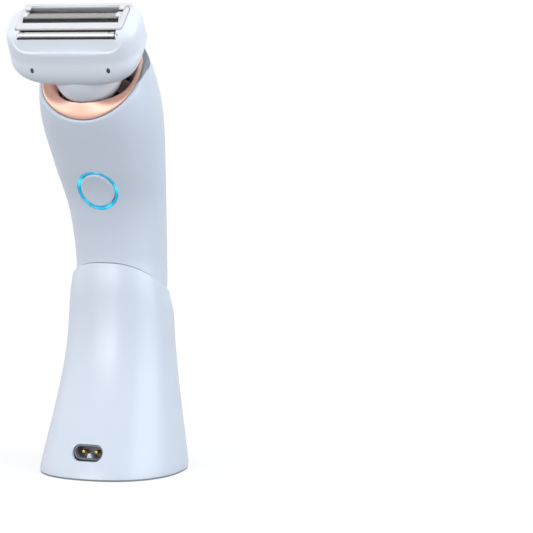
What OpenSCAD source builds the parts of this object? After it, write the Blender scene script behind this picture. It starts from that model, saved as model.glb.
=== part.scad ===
// Cordless body shaver with a pivoting foil head, standing in its charging stand.
// Millimetres, +Z up, front of the shaver towards -Y, origin under the middle of the stand's foot.

/* [Stand] */
// Width of the stand across its foot
foot_w = 53.4; // [50:0.2:58]
// Depth of the stand across its foot
foot_d = 56.8; // [52:0.2:60]
// Width of the stand half way up
stand_mid_w = 40.4; // [38:0.2:43]
// Depth of the stand half way up
stand_mid_d = 37.6; // [37:0.2:42]
// Height of the half-way section
stand_mid_h = 42; // [36:1:46]
// Height of the rim at the front
rim_h = 77.2; // [76:0.2:79]
// How far the rim drops from front to back
rim_drop = 18.4; // [14:0.4:20]
// Wall of the stand
stand_wall = 1.3; // [1.1:0.1:1.6]
// How far the foot reaches ahead of the socket
foot_lead = 6.8; // [5:0.2:8]
// Thickness of the base plate
base_t = 2; // [1.6:0.2:3]
// Thickness of the rubber pad under the foot
foot_pad_t = 1.2; // [0.8:0.1:1.6]
// How far the rubber pad is set in from the foot's edge
foot_pad_inset = 0.5; // [0.3:0.1:1]
// Wall of the socket cup
cup_wall = 1.4; // [1.2:0.1:1.8]
// Diameter of the screw posts under the cup
post_d = 5.2; // [4.4:0.2:6]

/* [Inlet] */
// Width of the inlet's mouth
inlet_w = 10.4; // [9.4:0.2:12]
// Height of the inlet's mouth
inlet_h = 4.4; // [4:0.1:5]
// Height of the inlet's middle above the ground
inlet_z = 9.6; // [9.4:0.1:12]
// Depth of the inlet's cavity
inlet_depth = 8.4; // [8:0.2:9]
// Wall of the inlet's body
inlet_wall = 0.7; // [0.6:0.1:1]
// Diameter of an inlet pin
inlet_pin_d = 1.4; // [1.2:0.1:1.8]
// Distance between the inlet pins
inlet_pin_gap = 5; // [4:0.2:6]

/* [Handle] */
// Width at the end of the tail
tail_w = 18; // [17:0.2:19.4]
// Depth at the end of the tail
tail_d = 17; // [16:0.2:18]
// Width half way down the tail
calf_w = 25; // [24:0.2:26]
// Depth half way down the tail
calf_d = 23.6; // [22.6:0.2:24.6]
// Width at the waist, just above the stand
waist_w = 32.6; // [31.6:0.2:33.4]
// Depth at the waist
waist_d = 30.4; // [29.4:0.2:31.2]
// Width at the grip
grip_w = 35; // [34:0.2:36]
// Depth at the grip
grip_d = 31; // [30.2:0.2:32]
// Width at the chest, where the button sits
chest_w = 39.6; // [38.6:0.2:41]
// Depth at the chest
chest_d = 34; // [33.4:0.2:36]
// Width of the neck
neck_w = 43.2; // [42.4:0.2:45]
// Depth of the neck
neck_d = 37.2; // [36.6:0.2:39]
// How far the neck's middle lies ahead of the waist's
neck_lead = 16.8; // [15.6:0.2:18]
// Height of the neck above the waist
neck_up = 50; // [49:0.5:53]
// Length of the tail below the waist
tail_len = 57; // [54:0.5:58]
// Wall of the handle
handle_wall = 1.8; // [1.5:0.1:2.1]
// How square the handle's sections are, 2 for an ellipse
handle_square = 2.5; // [2.3:0.1:2.8]
// Depth of the flutes behind the sides
flute_depth = 1; // [0:0.1:1.2]
// Thickness of the cap that closes the tail
tail_cap_t = 4; // [3.4:0.2:5]

/* [Button] */
// Diameter of the power button
button_d = 13.2; // [12:0.2:13.6]
// Width of the light ring round it
light_w = 1.1; // [0.8:0.1:1.4]
// Depth of the light ring
light_t = 2.4; // [2:0.1:3]
// Travel of the button
button_travel = 0.8; // [0.4:0.1:1]
// Distance of the button below the head's pivot, along the neck
button_down = 26; // [25:0.5:28]

/* [Neck] */
// Lean of the neck from upright
neck_lean = 26; // [24:0.5:28]
// Radius of the round mouth in the metal collar
mouth_r = 14.6; // [14.2:0.1:15]
// Height of the mouth above the head's pivot
mouth_up = 8; // [7.4:0.1:8.6]
// Wall of the dark bowl in the mouth
bowl_wall = 1.2; // [1:0.1:1.5]
// Thickness of the bowl's floor
bowl_floor = 2; // [1.6:0.1:2.4]
// Diameter of a pivot pin
pivot_d = 3; // [2.4:0.1:3.4]
// Diameter of the cradle's hub
hub_d = 11; // [10.6:0.1:11.4]
// Outer diameter of the post that the head plugs on
post_head_d = 12; // [11.6:0.1:12.4]
// Bore through the cradle for the drive arm
drive_bore_d = 9; // [8.8:0.1:9.4]

/* [Drive] */
// Diameter of the motor
motor_d = 17; // [15:0.2:17.4]
// Length of the motor
motor_len = 25; // [22:0.5:26]
// Eccentricity of the crank pin
crank_throw = 0.6; // [0.4:0.05:0.7]
// Diameter of the crank pin
crank_pin_d = 1.4; // [1.2:0.1:1.6]
// Diameter of the battery cell
battery_d = 14; // [13:0.2:14.4]
// Length of the battery cell
battery_len = 43; // [40:0.5:44]

/* [Head] */
// Lean of the head from upright
head_lean = 45; // [44:0.5:46]
// Width of the head
head_w = 50.4; // [50:0.2:51.6]
// Depth of the head
head_d = 19.6; // [19.2:0.2:20.4]
// Height of the head's body, twice that of its top above its middle
head_h = 20.6; // [20:0.2:21.2]
// How far the head's top leans back, per unit of height
head_shear = 0.4; // [0.3:0.05:0.5]
// Height of the head's underside below its middle
head_low = 10.2; // [9.8:0.1:10.6]
// How far the head's underside leans forward, per unit of height
head_low_shear = 0.5; // [0.4:0.05:0.6]
// Distance of the head's middle from the pivot
head_up = 28.8; // [28.4:0.1:29.2]
// Diameter of the ball stem
stem_d = 25; // [24.4:0.2:25.4]
// Distance of the ball's middle from the pivot
stem_up = 16.5; // [16.2:0.1:16.8]
// Width of the foil frame
frame_w = 43; // [42.2:0.2:43.4]
// Depth of the foil frame
frame_d = 11.2; // [11:0.1:11.6]
// Travel of the floating foil
float_travel = 1.2; // [0.8:0.1:1.4]
// Length of the foil
foil_len = 37; // [35:0.5:37.2]
// Radius of the foil's arch
foil_r = 3.6; // [3.4:0.1:3.7]
// Thickness of the foil
foil_t = 0.2; // [0.15:0.05:0.3]
// Diameter of the guide roller
roller_d = 2.6; // [2.2:0.1:2.8]
// Length of the guide roller
roller_len = 36.5; // [34:0.5:37]
// Number of blades in the inner cutter
blade_count = 22; // [16:1:28]

/* [Fits] */
// Gap between the tail and its socket
socket_gap = 0.35; // [0.3:0.05:0.5]
// Gap between pieces that are placed side by side
seat_gap = 0.1; // [0.05:0.05:0.2]
// Radial running clearance of pins and shafts
run_gap = 0.05; // [0.03:0.01:0.08]
// Gap round pieces that slide
slide_gap = 0.3; // [0.25:0.05:0.4]

/* [Hidden] */
$fn = 48;

// Colours, as the photograph shows them
body_blue = [0.80, 0.84, 0.90];
copper = [0.93, 0.68, 0.58];
dark = [0.22, 0.21, 0.21];
white = [0.95, 0.95, 0.96];
steel = [0.72, 0.73, 0.75];
brass = [0.80, 0.66, 0.36];
board_green = [0.13, 0.38, 0.25];
glow_blue = [0.15, 0.66, 0.90];
rubber_grey = [0.35, 0.36, 0.38];

// Resolution of the lofted shells
ring_steps = 48;
shell_rows = 22;
stand_rows = 14;
cup_rows = 6;
head_rings = 20;
head_last = 89;
// How far a cut runs past what it cuts
over = 1;
// Cones that make up the room for the ball
ball_cones = 18;

// Sections of the stand: height, middle along Y, half width, half depth
rim_w = waist_w + 2 * (socket_gap + stand_wall);
rim_d = waist_d + 2 * (socket_gap + stand_wall);
stand_mid_shift = 0.88;
stand_sections = [
    [0, 0, foot_w / 2, foot_d / 2],
    [stand_mid_h, foot_lead * stand_mid_shift, stand_mid_w / 2, stand_mid_d / 2],
    [rim_h, foot_lead, rim_w / 2, rim_d / 2]];
foot_square = 2.3;
// The rim rolls in towards the handle over the top share of the wall
lip_t = 0.9;
lip_start = 0.85;
lip_bend = 2.6;
collar_start = 0.66;
collar_end = 0.84;
row_crowding = 1.6;

// Sections of the handle, from the end of the tail to the hood behind the head
waist_step = 1.8;
hip_down = 13;
hip_draw = 0.1;
waist_z = rim_h + waist_step;
tail_z = waist_z - tail_len;
calf_share = 0.37;
grip_up = 18;
chest_up = 34;
shoulder_up = neck_up + 11;
brow_up = neck_up + 23;
hood_up = neck_up + 37;
grip_lead = 3.6;
chest_lead = 10.4;
shoulder_lead = neck_lead + 3.2;
brow_lead = neck_lead + 6.3;
hood_lead = neck_lead + 9;
shoulder_w = neck_w - 0.8;
brow_w = neck_w - 6.4;
hood_w = neck_w - 21;
brow_d = neck_d - 2.8;
hood_d = neck_d - 11;
handle_sections = [
    [tail_z, foot_lead, tail_w / 2, tail_d / 2],
    [tail_z + tail_len * calf_share, foot_lead, calf_w / 2, calf_d / 2],
    [waist_z - hip_down, foot_lead, waist_w / 2 - hip_draw, waist_d / 2 - hip_draw],
    [waist_z, foot_lead, waist_w / 2, waist_d / 2],
    [waist_z + grip_up, foot_lead - grip_lead, grip_w / 2, grip_d / 2],
    [waist_z + chest_up, foot_lead - chest_lead, chest_w / 2, chest_d / 2],
    [waist_z + neck_up, foot_lead - neck_lead, neck_w / 2, neck_d / 2],
    [waist_z + shoulder_up, foot_lead - shoulder_lead, shoulder_w / 2, neck_d / 2],
    [waist_z + brow_up, foot_lead - brow_lead, brow_w / 2, brow_d / 2],
    [waist_z + hood_up, foot_lead - hood_lead, hood_w / 2, hood_d / 2]];
// The neck's rim climbs from its front to the hood's tip
neck_rim_up = 0.6;
neck_rim_front = waist_z + neck_up + neck_rim_up;
neck_rim_rise = 35.7;
neck_rim_bend = 0.82;

// Flutes: angle behind the side, spread round the handle, and where they start and end
flute_angle = 42;
flute_spread = 17;
flute_low = waist_z - 40;
flute_high = waist_z + 60;

// Inside the stand, from the ground up
base_top = foot_pad_t + base_t;
cup_floor = tail_z - slide_gap;
cup_low = cup_floor - cup_wall;
cup_step = 1;
post_x = 7;
post_y = 5;
post_sink = 0.6;
screw_d = 2;
screw_head_d = 3.8;
screw_head_t = 1;
screw_len = 9;
contact_x = 3.4;
contact_d = 1.8;
contact_flange_d = 3;
contact_flange_t = 0.8;
contact_reach = 1.6;
contact_tail = 5;
charger_t = 1.2;
charger_top = inlet_z - inlet_h / 2 - inlet_wall - seat_gap;
charger_w = 30;
charger_front = 19.5;
charger_back = 2;
standoff_d = 4;
standoff_x = 11;
coil_room = 0.5;
coil_w = 16;
coil_len = 8;
coil_h = 8;
core_t = 2;
core_w = 7;
key_w = 1.6;
key_h = 1.5;
pin_reach = 3.6;
pin_tail = 1;
key_len = 3.6;
inlet_back_t = 1.5;

// The head's pivot, and places along the neck
pivot_up = 5.1;
pivot_lead = 3;
pivot_z = waist_z + neck_up + pivot_up;
pivot_y = foot_lead - neck_lead - pivot_lead;
collar_edge = 0.2;
collar_ledge = 3;
collar_lift = 0.6;
collar_t = 2.5;
collar_lip = 0.8;
collar_drop = 3;
collar_seat = 1;
collar_fall = 0.2;
bowl_set = 0.5;
bowl_band = 2;
bowl_rim_up = mouth_up - bowl_set;
bowl_rim_r = mouth_r - seat_gap;
bowl_waist_r = 10.6;
bowl_floor_r = 9.6;
bowl_flange_r = 13.4;
bowl_low = -7.2;
bowl_hole_r = 3.5;
boss_d = 6.4;
boss_out = 12.4;
frame_plate_t = 2;
frame_gap = 4;
frame_post_r = 11;
frame_post_d = 4.2;
frame_screw_len = 6.6;
frame_screw_head_d = 3.2;
motor_top = bowl_low - bowl_floor - frame_gap - frame_plate_t;
motor_low = motor_top - motor_len;
motor_neck_d = 6;
rail_room = 0.7;
rail_in = motor_d / 2 + rail_room;
rail_t = 1.8;
rail_back = 3;
rail_len = 26;
shaft_d = 2;
crank_d = 5;
crank_t = 1.8;
crank_low = motor_top + frame_plate_t + 2 * slide_gap;
crank_pin_up = 1.5;
hub_w = 13.4;

// The button and the board behind it, measured from the neck's axis
function front_z(lead) = pivot_z - button_down * cos(neck_lean) - lead * sin(neck_lean);
function front_at(lead) =
    -(handle_point(front_z(lead), 270, 0)[1] - pivot_y) * cos(neck_lean)
    - (front_z(lead) - pivot_z) * sin(neck_lean);
front_guess = 16;
front_lead = front_at(front_at(front_guess));
button_proud = 0.1;
button_gap = 0.15;
button_t = 3;
button_stem_d = 3;
light_set = 0.2;
light_r = button_d / 2 + button_gap + light_w;
board_t = 1;
board_face = motor_d / 2 + slide_gap + board_t;
board_w = 2 * (rail_in - slide_gap);
board_room = 1.8;
board_up = button_down + motor_top - board_room;
board_down = 14;
switch_w = 5;
switch_t = 1.6;

// The cell and its tray, in the tail
tray_z = tail_z + 12;
tray_t = 2;
tray_wall = 1;
tray_foot_d = 7;
tab_t = 0.3;
tab_d = 9;
battery_z = tray_z + tray_t + tab_t;

// Places along the head's axis, from the pivot
head_top_square = 5;
head_low_square = 2.2;
head_side_square = 3.8;
head_crown_square = 10;
head_belly_square = 2.1;
head_back = 1;
head_tip = 3;
stem_back = 2;
stem_low = 6.5;
stem_top = stem_up + 10.5;
socket_top = stem_up - 4.2;
head_top = head_up + head_h / 2;
frame_top = head_top + 0.1;
frame_t = 2.4;
frame_back = 5.1;
frame_corner = 2.4;
foil_rise = 0.5;
foil_axis = frame_top + foil_rise - foil_r;
foil_back = frame_back + 0.2;
pocket_low = frame_top - frame_t - float_travel - slide_gap;
comb_t = 0.4;
comb_gap = 0.1;
blade_room = 0.25;
comb_back = foil_back + foil_r + 0.3;
comb_low = foil_axis - 0.6;
comb_top = frame_top + 0.1;
comb_pitch = 0.8;
comb_tooth = 0.45;
comb_depth = 1.4;
well_front = 1;
well_back = comb_back + 2 * comb_t + comb_gap + blade_room;
deep_front = 1.2;
deep_back = 8.8;
deep_low = pocket_low - 5.4;
carriage_low = deep_low + float_travel + 2 * slide_gap;
carriage_t = 2.6;
carriage_top = carriage_low + carriage_t;
link_t = 1;
well_low = carriage_top - link_t - float_travel - slide_gap;
arm_well_w = 14;
arm_well_front = 2.2;
arm_well_back = 4.5;
arm_well_low = stem_top + slide_gap;
arm_well_top = pocket_low - 0.7;
roller_front = 2.3;
roller_up = head_top - 1.7;
roller_room = 0.3;
roller_axle_d = 1;
roller_axle_len = 0.8;
panel_w = 44;
panel_corner = 6;
panel_low = 33;
panel_front = 6.44;
panel_turn = 33;
panel_h = 16;
notch_x = 14.6;
notch_w = 1.4;
notch_h = 1.8;
notch_depth = 3;
notch_up = 28;
post_top = socket_top - seat_gap;
post_fit = 0.08;
fork_inner = crank_pin_d + 4 * crank_throw + 2 * slide_gap;
fork_tine = 1;
fork_d = 3;
fork_low = -2;
fork_top = 8;
arm_w = fork_inner + 2 * fork_tine;
carriage_w = 34;
carriage_d = 6;
blade_t = 0.4;
blade_gap = 0.25;
blade_r = foil_r - foil_t - blade_gap;
cutter_room = 1;
cutter_len = foil_len - 2 * (cutter_room + crank_throw);
spine_t = 1.6;
link_w = 3;
link_x = 12;
spring_r = 3.6;
spring_t = 0.3;
spring_w = 1.5;
spring_shift = 0.25;
spring_x = (frame_w + foil_len) / 4 + spring_shift;

// Smooth curve through the sections: value k of a list of sections at height z
function slope(t, i, k) =
    let (a = max(i - 1, 0), b = min(i + 1, len(t) - 1)) (t[b][k] - t[a][k]) / (t[b][0] - t[a][0]);
function span_of(t, z, i = 0) = i >= len(t) - 2 || z < t[i + 1][0] ? i : span_of(t, z, i + 1);
function along(t, z, k) =
    let (
        i = span_of(t, z),
        w = t[i + 1][0] - t[i][0],
        s = (z - t[i][0]) / w,
        s2 = s * s,
        s3 = s2 * s)
    (2 * s3 - 3 * s2 + 1) * t[i][k] + (s3 - 2 * s2 + s) * w * slope(t, i, k)
    + (3 * s2 - 2 * s3) * t[i + 1][k] + (s3 - s2) * w * slope(t, i + 1, k);
function between(a, b, share) = a + (b - a) * share;
function ease(x, low, high) = let (s = max(0, min(1, (x - low) / (high - low)))) s * s * (3 - 2 * s);

// Signed power, which gives rounded squares
function spow(v, p) = sign(v) * pow(abs(v), p);
function oval(a, b, square, angle) =
    [a * spow(cos(angle), 2 / square), b * spow(sin(angle), 2 / square)];
function turn(k) = 360 * k / ring_steps;
function oval_outline(a, b, square) = [for (k = [0:ring_steps - 1]) oval(a, b, square, turn(k))];

// The handle's skin, set in by a wall, with its flutes
function bump(x) = abs(x) >= 1 ? 0 : pow(cos(90 * x), 2);
function flute(z, angle) =
    let (
        off = min(abs(angle - flute_angle), abs(angle - 180 + flute_angle)),
        middle = (flute_low + flute_high) / 2)
    flute_depth * bump(off / flute_spread) * bump((z - middle) / (flute_high - middle));
function plain_point(z, angle, inset) =
    let (p = oval(along(handle_sections, z, 2) - inset, along(handle_sections, z, 3) - inset,
                  handle_square, angle))
    [p[0], along(handle_sections, z, 1) + p[1], z];
function handle_point(z, angle, inset) = plain_point(z, angle, inset + flute(z, angle));
function neck_rim(angle) = neck_rim_front + neck_rim_rise * pow((1 + sin(angle)) / 2, neck_rim_bend);

// The stand's skin, outside and inside, from its foot to its slanted rim
function stand_rim(angle) = rim_h - rim_drop * (1 + sin(angle)) / 2;
function stand_square(z) = foot_square + (handle_square - foot_square) * z / rim_h;
function stand_plain(z, angle, inset) =
    let (p = oval(along(stand_sections, z, 2) - inset, along(stand_sections, z, 3) - inset,
                  stand_square(z), angle))
    [p[0], along(stand_sections, z, 1) + p[1], z];
function stand_z(share, angle) = between(foot_pad_t, stand_rim(angle), share);
function stand_outer(share, angle) =
    let (
        z = stand_z(share, angle),
        roll = pow(max(0, (share - lip_start) / (1 - lip_start)), lip_bend))
    between(stand_plain(z, angle, 0), plain_point(z, angle, -socket_gap - lip_t), roll);
function stand_inner(share, angle) =
    let (z = stand_z(share, angle))
    between(stand_plain(z, angle, stand_wall), plain_point(z, angle, -socket_gap),
            ease(share, collar_start, collar_end));
function crowded(i, rows) = 1 - pow(1 - i / rows, row_crowding);

// The head's body in its own frame: across, back, along its axis.
// Its ends draw in towards their tips; the underside draws in sooner than the top.
function head_draw(end_angle, square) = pow(cos(end_angle), 2 / square);
function head_point(end_angle, angle) =
    let (
        top = sin(angle) >= 0,
        p = oval(head_d / 2, top ? head_h / 2 : head_low, top ? head_top_square : head_low_square, angle),
        lean = top ? head_shear : head_low_shear,
        deep = head_draw(end_angle, head_side_square),
        high = head_draw(end_angle, top ? head_crown_square : head_belly_square))
    [head_w / 2 * spow(sin(end_angle), 2 / head_side_square),
     head_back + head_tip * (1 - deep) + deep * (p[0] + lean * p[1]), head_up + high * p[1]];

// A closed skin over rings that all have the same number of points.
// The rings turn anticlockwise as seen from the last one; looped joins the last ring to the first.
module skin(rings, looped = false) {
    n = len(rings[0]);
    count = len(rings);
    last = (count - 1) * n;
    sides = [
        for (i = [0:looped ? count - 1 : count - 2], k = [0:n - 1])
            let (a = i * n + k, b = i * n + (k + 1) % n, up = ((i + 1) % count) * n)
            each [[a, up + (k + 1) % n, b], [a, up + k, up + (k + 1) % n]]];
    ends = looped ? [] : [
        for (k = [0:n / 2 - 2])
            let (c = n - 2 - k, d = n - 1 - k)
            each [[k, k + 1, c], [k, c, d],
                  [last + k, last + c, last + k + 1], [last + k, last + d, last + c]]];
    polyhedron(points = [for (ring = rings) each ring], faces = concat(sides, ends), convexity = 10);
}

// Frames of the neck and of the head, both with their origin on the pivot
module at_neck() {
    translate([0, pivot_y, pivot_z]) rotate([neck_lean, 0, 0]) children();
}
module at_head() {
    translate([0, pivot_y, pivot_z]) rotate([head_lean, 0, 0]) children();
}

// A rod along X, a rod along Y that starts at its front, and a box given by its two corners
module rod(d, length) {
    rotate([0, 90, 0]) cylinder(d = d, h = length, center = true);
}
module rod_back(d, length) {
    rotate([-90, 0, 0]) cylinder(d = d, h = length);
}
module box(low, high) {
    translate(low) cube(high - low);
}
module stadium(w, h, front, length) {
    for (side = [-1, 1]) translate([side * (w - h) / 2, front, inlet_z]) rod_back(h, length);
    box([-(w - h) / 2, front, inlet_z - h / 2], [(w - h) / 2, front + length, inlet_z + h / 2]);
}
module rounded_square(w, h, r) {
    square([w, h - 2 * r], center = true);
    square([w - 2 * r, h], center = true);
    for (x = [-1, 1], y = [-1, 1]) translate([x * (w / 2 - r), y * (h / 2 - r)]) circle(r = r);
}
module at_posts() {
    for (x = [-1, 1], y = [-1, 1]) translate([x * post_x, foot_lead + y * post_y, 0]) children();
}
module at_contacts() {
    for (x = [-1, 1]) translate([x * contact_x, foot_lead, 0]) children();
}
module at_frame_posts() {
    for (place = [30:120:270]) rotate([0, 0, place]) translate([frame_post_r, 0, 0]) children();
}

// Stand

inlet_front = stand_plain(inlet_z + inlet_h / 2 + inlet_wall, 270, 0)[1] + seat_gap;
inlet_back = inlet_front + inlet_depth + inlet_back_t;

module stand_shell() {
    outer = [for (i = [0:stand_rows])
        [for (k = [0:ring_steps - 1]) stand_outer(crowded(i, stand_rows), turn(k))]];
    inner = [for (i = [stand_rows:-1:0])
        [for (k = [0:ring_steps - 1]) stand_inner(crowded(i, stand_rows), turn(k))]];
    cut = 2 * (inlet_wall + seat_gap);
    color(body_blue) difference() {
        skin(concat(outer, inner), looped = true);
        stadium(inlet_w + cut, inlet_h + cut, -foot_d, foot_d + inlet_back);
    }
}

module socket_cup() {
    function cup_point(share, angle, inset) =
        let (z = between(cup_floor, stand_z(collar_start, angle) - cup_step, share))
        let (p = plain_point(max(z, tail_z), angle, inset)) [p[0], p[1], z];
    function cup_ring(share, inset) = [for (k = [0:ring_steps - 1]) cup_point(share, turn(k), inset)];
    floor_ring = cup_ring(0, -socket_gap - cup_wall);
    outer = [for (i = [0:cup_rows]) cup_ring(i / cup_rows, -socket_gap - cup_wall)];
    inner = [for (i = [cup_rows:-1:0]) cup_ring(i / cup_rows, -socket_gap)];
    low = [for (p = floor_ring) [p[0], p[1], cup_low]];
    color(body_blue) difference() {
        union() {
            skin(concat([low], outer, inner));
            at_posts() translate([0, 0, base_top]) cylinder(d = post_d, h = cup_low + post_sink - base_top);
        }
        at_posts() cylinder(d = screw_d, h = base_top + screw_len);
        at_contacts() cylinder(d = contact_d + 2 * seat_gap, h = tail_z);
    }
}

module base_plate() {
    rim = stand_wall + 5 * seat_gap;
    color(body_blue) difference() {
        union() {
            translate([0, along(stand_sections, base_top, 1), foot_pad_t]) linear_extrude(base_t)
                polygon(oval_outline(along(stand_sections, base_top, 2) - rim,
                                     along(stand_sections, base_top, 3) - rim, stand_square(base_top)));
            for (x = [-1, 1]) translate([x * standoff_x, -(charger_front + charger_back) / 2, base_top])
                cylinder(d = standoff_d, h = charger_top - charger_t - base_top);
        }
        at_posts() cylinder(d = screw_d + 2 * seat_gap, h = base_top + over);
        at_posts() cylinder(d = screw_head_d + 2 * seat_gap, h = foot_pad_t + screw_head_t);
    }
}

module foot_pad() {
    color(rubber_grey) linear_extrude(foot_pad_t)
        polygon(oval_outline(foot_w / 2 - foot_pad_inset, foot_d / 2 - foot_pad_inset, foot_square));
}

module base_screws() {
    color(steel) at_posts() translate([0, 0, foot_pad_t]) {
        cylinder(d = screw_head_d, h = screw_head_t);
        cylinder(d = screw_d, h = screw_len);
    }
}

module inlet_socket() {
    color(dark) difference() {
        stadium(inlet_w + 2 * inlet_wall, inlet_h + 2 * inlet_wall, inlet_front, inlet_back - inlet_front);
        difference() {
            stadium(inlet_w, inlet_h, inlet_front - over, inlet_depth + over);
            box([-key_w / 2, inlet_front + inlet_depth - key_len, inlet_z - inlet_h / 2],
                [key_w / 2, inlet_front + inlet_depth, inlet_z - inlet_h / 2 + key_h]);
        }
        for (x = [-1, 1]) translate([x * inlet_pin_gap / 2, inlet_front, inlet_z])
            rod_back(inlet_pin_d + 2 * run_gap, inlet_back - inlet_front + over);
    }
}

module inlet_pins() {
    color(brass) for (x = [-1, 1])
        translate([x * inlet_pin_gap / 2, inlet_front + inlet_depth - pin_reach, inlet_z])
            rod_back(inlet_pin_d, pin_reach + inlet_back_t + pin_tail);
}

module charger_board() {
    color(board_green) box([-charger_w / 2, -charger_front, charger_top - charger_t],
                           [charger_w / 2, -charger_back, charger_top]);
}

module transformer() {
    middle = inlet_back + pin_tail + coil_room + coil_len / 2;
    color(dark) {
        box([-coil_w / 2, middle - coil_len / 2, charger_top],
            [coil_w / 2, middle + coil_len / 2, charger_top + core_t]);
        translate([0, middle, charger_top]) cylinder(d = core_w, h = coil_h);
        box([-coil_w / 2, middle - coil_len / 2, charger_top + coil_h - core_t],
            [coil_w / 2, middle + coil_len / 2, charger_top + coil_h]);
    }
}

module dock_contacts() {
    color(brass) at_contacts() {
        translate([0, 0, cup_low - contact_tail])
            cylinder(d = contact_d, h = tail_z + contact_reach - cup_low + contact_tail);
        translate([0, 0, cup_low - contact_flange_t]) cylinder(d = contact_flange_d, h = contact_flange_t);
    }
}

// Handle

function shell_column(angle) =
    let (zs = [for (i = [0:shell_rows]) between(tail_z, neck_rim(angle), i / shell_rows)])
    concat([for (z = zs) handle_point(z, angle, handle_wall)],
           [for (i = [shell_rows:-1:0]) handle_point(zs[i], angle, 0)]);

module half_shell(start) {
    skin([for (k = [0:ring_steps / 2]) shell_column(start + turn(k))]);
}

module front_shell() {
    color(body_blue) difference() {
        half_shell(180);
        at_neck() translate([0, -2 * front_lead, -button_down])
            rod_back(2 * (light_r + seat_gap), 2 * front_lead);
    }
}

module back_shell() {
    color(body_blue) half_shell(0);
}

module tail_cap() {
    rim = handle_wall + seat_gap;
    color(body_blue) difference() {
        translate([0, foot_lead, tail_z]) linear_extrude(tail_cap_t)
            polygon(oval_outline(tail_w / 2 - rim, tail_d / 2 - rim, handle_square));
        at_contacts() cylinder(d = contact_flange_d + 2 * seat_gap, h = waist_z);
    }
}

module tail_contacts() {
    color(brass) at_contacts() translate([0, 0, tail_z + contact_reach + 2 * slide_gap])
        cylinder(d = contact_flange_d, h = tail_cap_t - contact_reach - 2 * slide_gap);
}

module neck_collar() {
    function mouth(r, up, angle) =
        let (y = r * sin(angle))
        [r * cos(angle), pivot_y + y * cos(neck_lean) - up * sin(neck_lean),
         pivot_z + y * sin(neck_lean) + up * cos(neck_lean)];
    function climb(angle) = (1 + sin(angle)) / 2;
    function rim_point(angle, up, inset) = plain_point(neck_rim(angle) + up, angle, inset);
    wall = handle_wall + 2 * seat_gap;
    angles = [for (k = [0:ring_steps - 1]) turn(k)];
    color(copper) skin([
        [for (a = angles) rim_point(a, -collar_drop * climb(a) - collar_seat, wall)],
        [for (a = angles) rim_point(a, seat_gap, wall)],
        [for (a = angles) rim_point(a, seat_gap, collar_edge)],
        [for (a = angles)
            rim_point(a, 2 * seat_gap + collar_lift * (1 - climb(a)), collar_edge + collar_ledge * climb(a))],
        [for (a = angles) mouth(mouth_r + collar_lip, mouth_up - collar_fall, a)],
        [for (a = angles) mouth(mouth_r, mouth_up, a)],
        [for (a = angles) mouth(mouth_r, mouth_up - collar_t, a)]], looped = true);
}

module neck_bowl() {
    floor_low = bowl_low - bowl_floor;
    color(dark) at_neck() difference() {
        union() {
            rotate_extrude() polygon([
                [bowl_hole_r, floor_low], [bowl_flange_r, floor_low], [bowl_flange_r, bowl_low],
                [bowl_floor_r, bowl_low], [bowl_waist_r, 0], [bowl_rim_r, bowl_rim_up - bowl_band],
                [bowl_rim_r, bowl_rim_up], [bowl_rim_r - bowl_wall, bowl_rim_up],
                [bowl_waist_r - bowl_wall, 0], [bowl_floor_r - bowl_wall, bowl_low],
                [bowl_hole_r, bowl_low]]);
            for (x = [-1, 1]) translate([x * (boss_out + bowl_waist_r - bowl_wall / 2) / 2, 0, 0])
                rod(boss_d, boss_out - bowl_waist_r + bowl_wall / 2);
        }
        rod(pivot_d + 2 * run_gap, 2 * (boss_out + over));
        at_frame_posts() translate([0, 0, floor_low - over])
            cylinder(d = screw_d + seat_gap, h = bowl_floor + 2 * over);
    }
}

module motor_frame() {
    plate_top = motor_top + frame_plate_t;
    color(dark) at_neck() difference() {
        union() {
            translate([0, 0, motor_top]) cylinder(r = bowl_flange_r, h = frame_plate_t);
            at_frame_posts() translate([0, 0, motor_top])
                cylinder(d = frame_post_d, h = frame_plate_t + frame_gap);
            for (side = [-1, 1]) translate([side * (rail_in + rail_t / 2), 0, 0])
                box([-rail_t / 2, -board_face, motor_top - rail_len], [rail_t / 2, rail_back, plate_top]);
        }
        translate([0, 0, motor_top - over])
            cylinder(d = motor_neck_d + 2 * seat_gap, h = frame_plate_t + 2 * over);
        at_frame_posts() translate([0, 0, motor_top - over])
            cylinder(d = screw_d + 2 * seat_gap, h = frame_gap + frame_plate_t + 2 * over);
    }
}

module frame_screws() {
    color(steel) at_neck() at_frame_posts() {
        translate([0, 0, motor_top - screw_head_t]) cylinder(d = frame_screw_head_d, h = screw_head_t);
        translate([0, 0, motor_top]) cylinder(d = screw_d, h = frame_screw_len);
    }
}

module motor() {
    color(steel) at_neck() difference() {
        union() {
            translate([0, 0, motor_low]) cylinder(d = motor_d, h = motor_len);
            translate([0, 0, motor_top]) cylinder(d = motor_neck_d, h = frame_plate_t - seat_gap);
        }
        translate([0, 0, motor_top - motor_len / 2]) cylinder(d = shaft_d + 2 * run_gap, h = motor_len);
    }
}

module motor_shaft() {
    low = motor_top - motor_len / 2 + slide_gap;
    color(steel) at_neck() translate([0, 0, low]) cylinder(d = shaft_d, h = crank_low + crank_t - low);
}

module crank() {
    color(brass) at_neck() {
        translate([0, 0, crank_low]) difference() {
            cylinder(d = crank_d, h = crank_t);
            translate([0, 0, -over]) cylinder(d = shaft_d, h = crank_t + 2 * over);
        }
        translate([crank_throw, 0, crank_low + crank_t])
            cylinder(d = crank_pin_d, h = crank_pin_up - crank_low - crank_t);
    }
}

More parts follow.
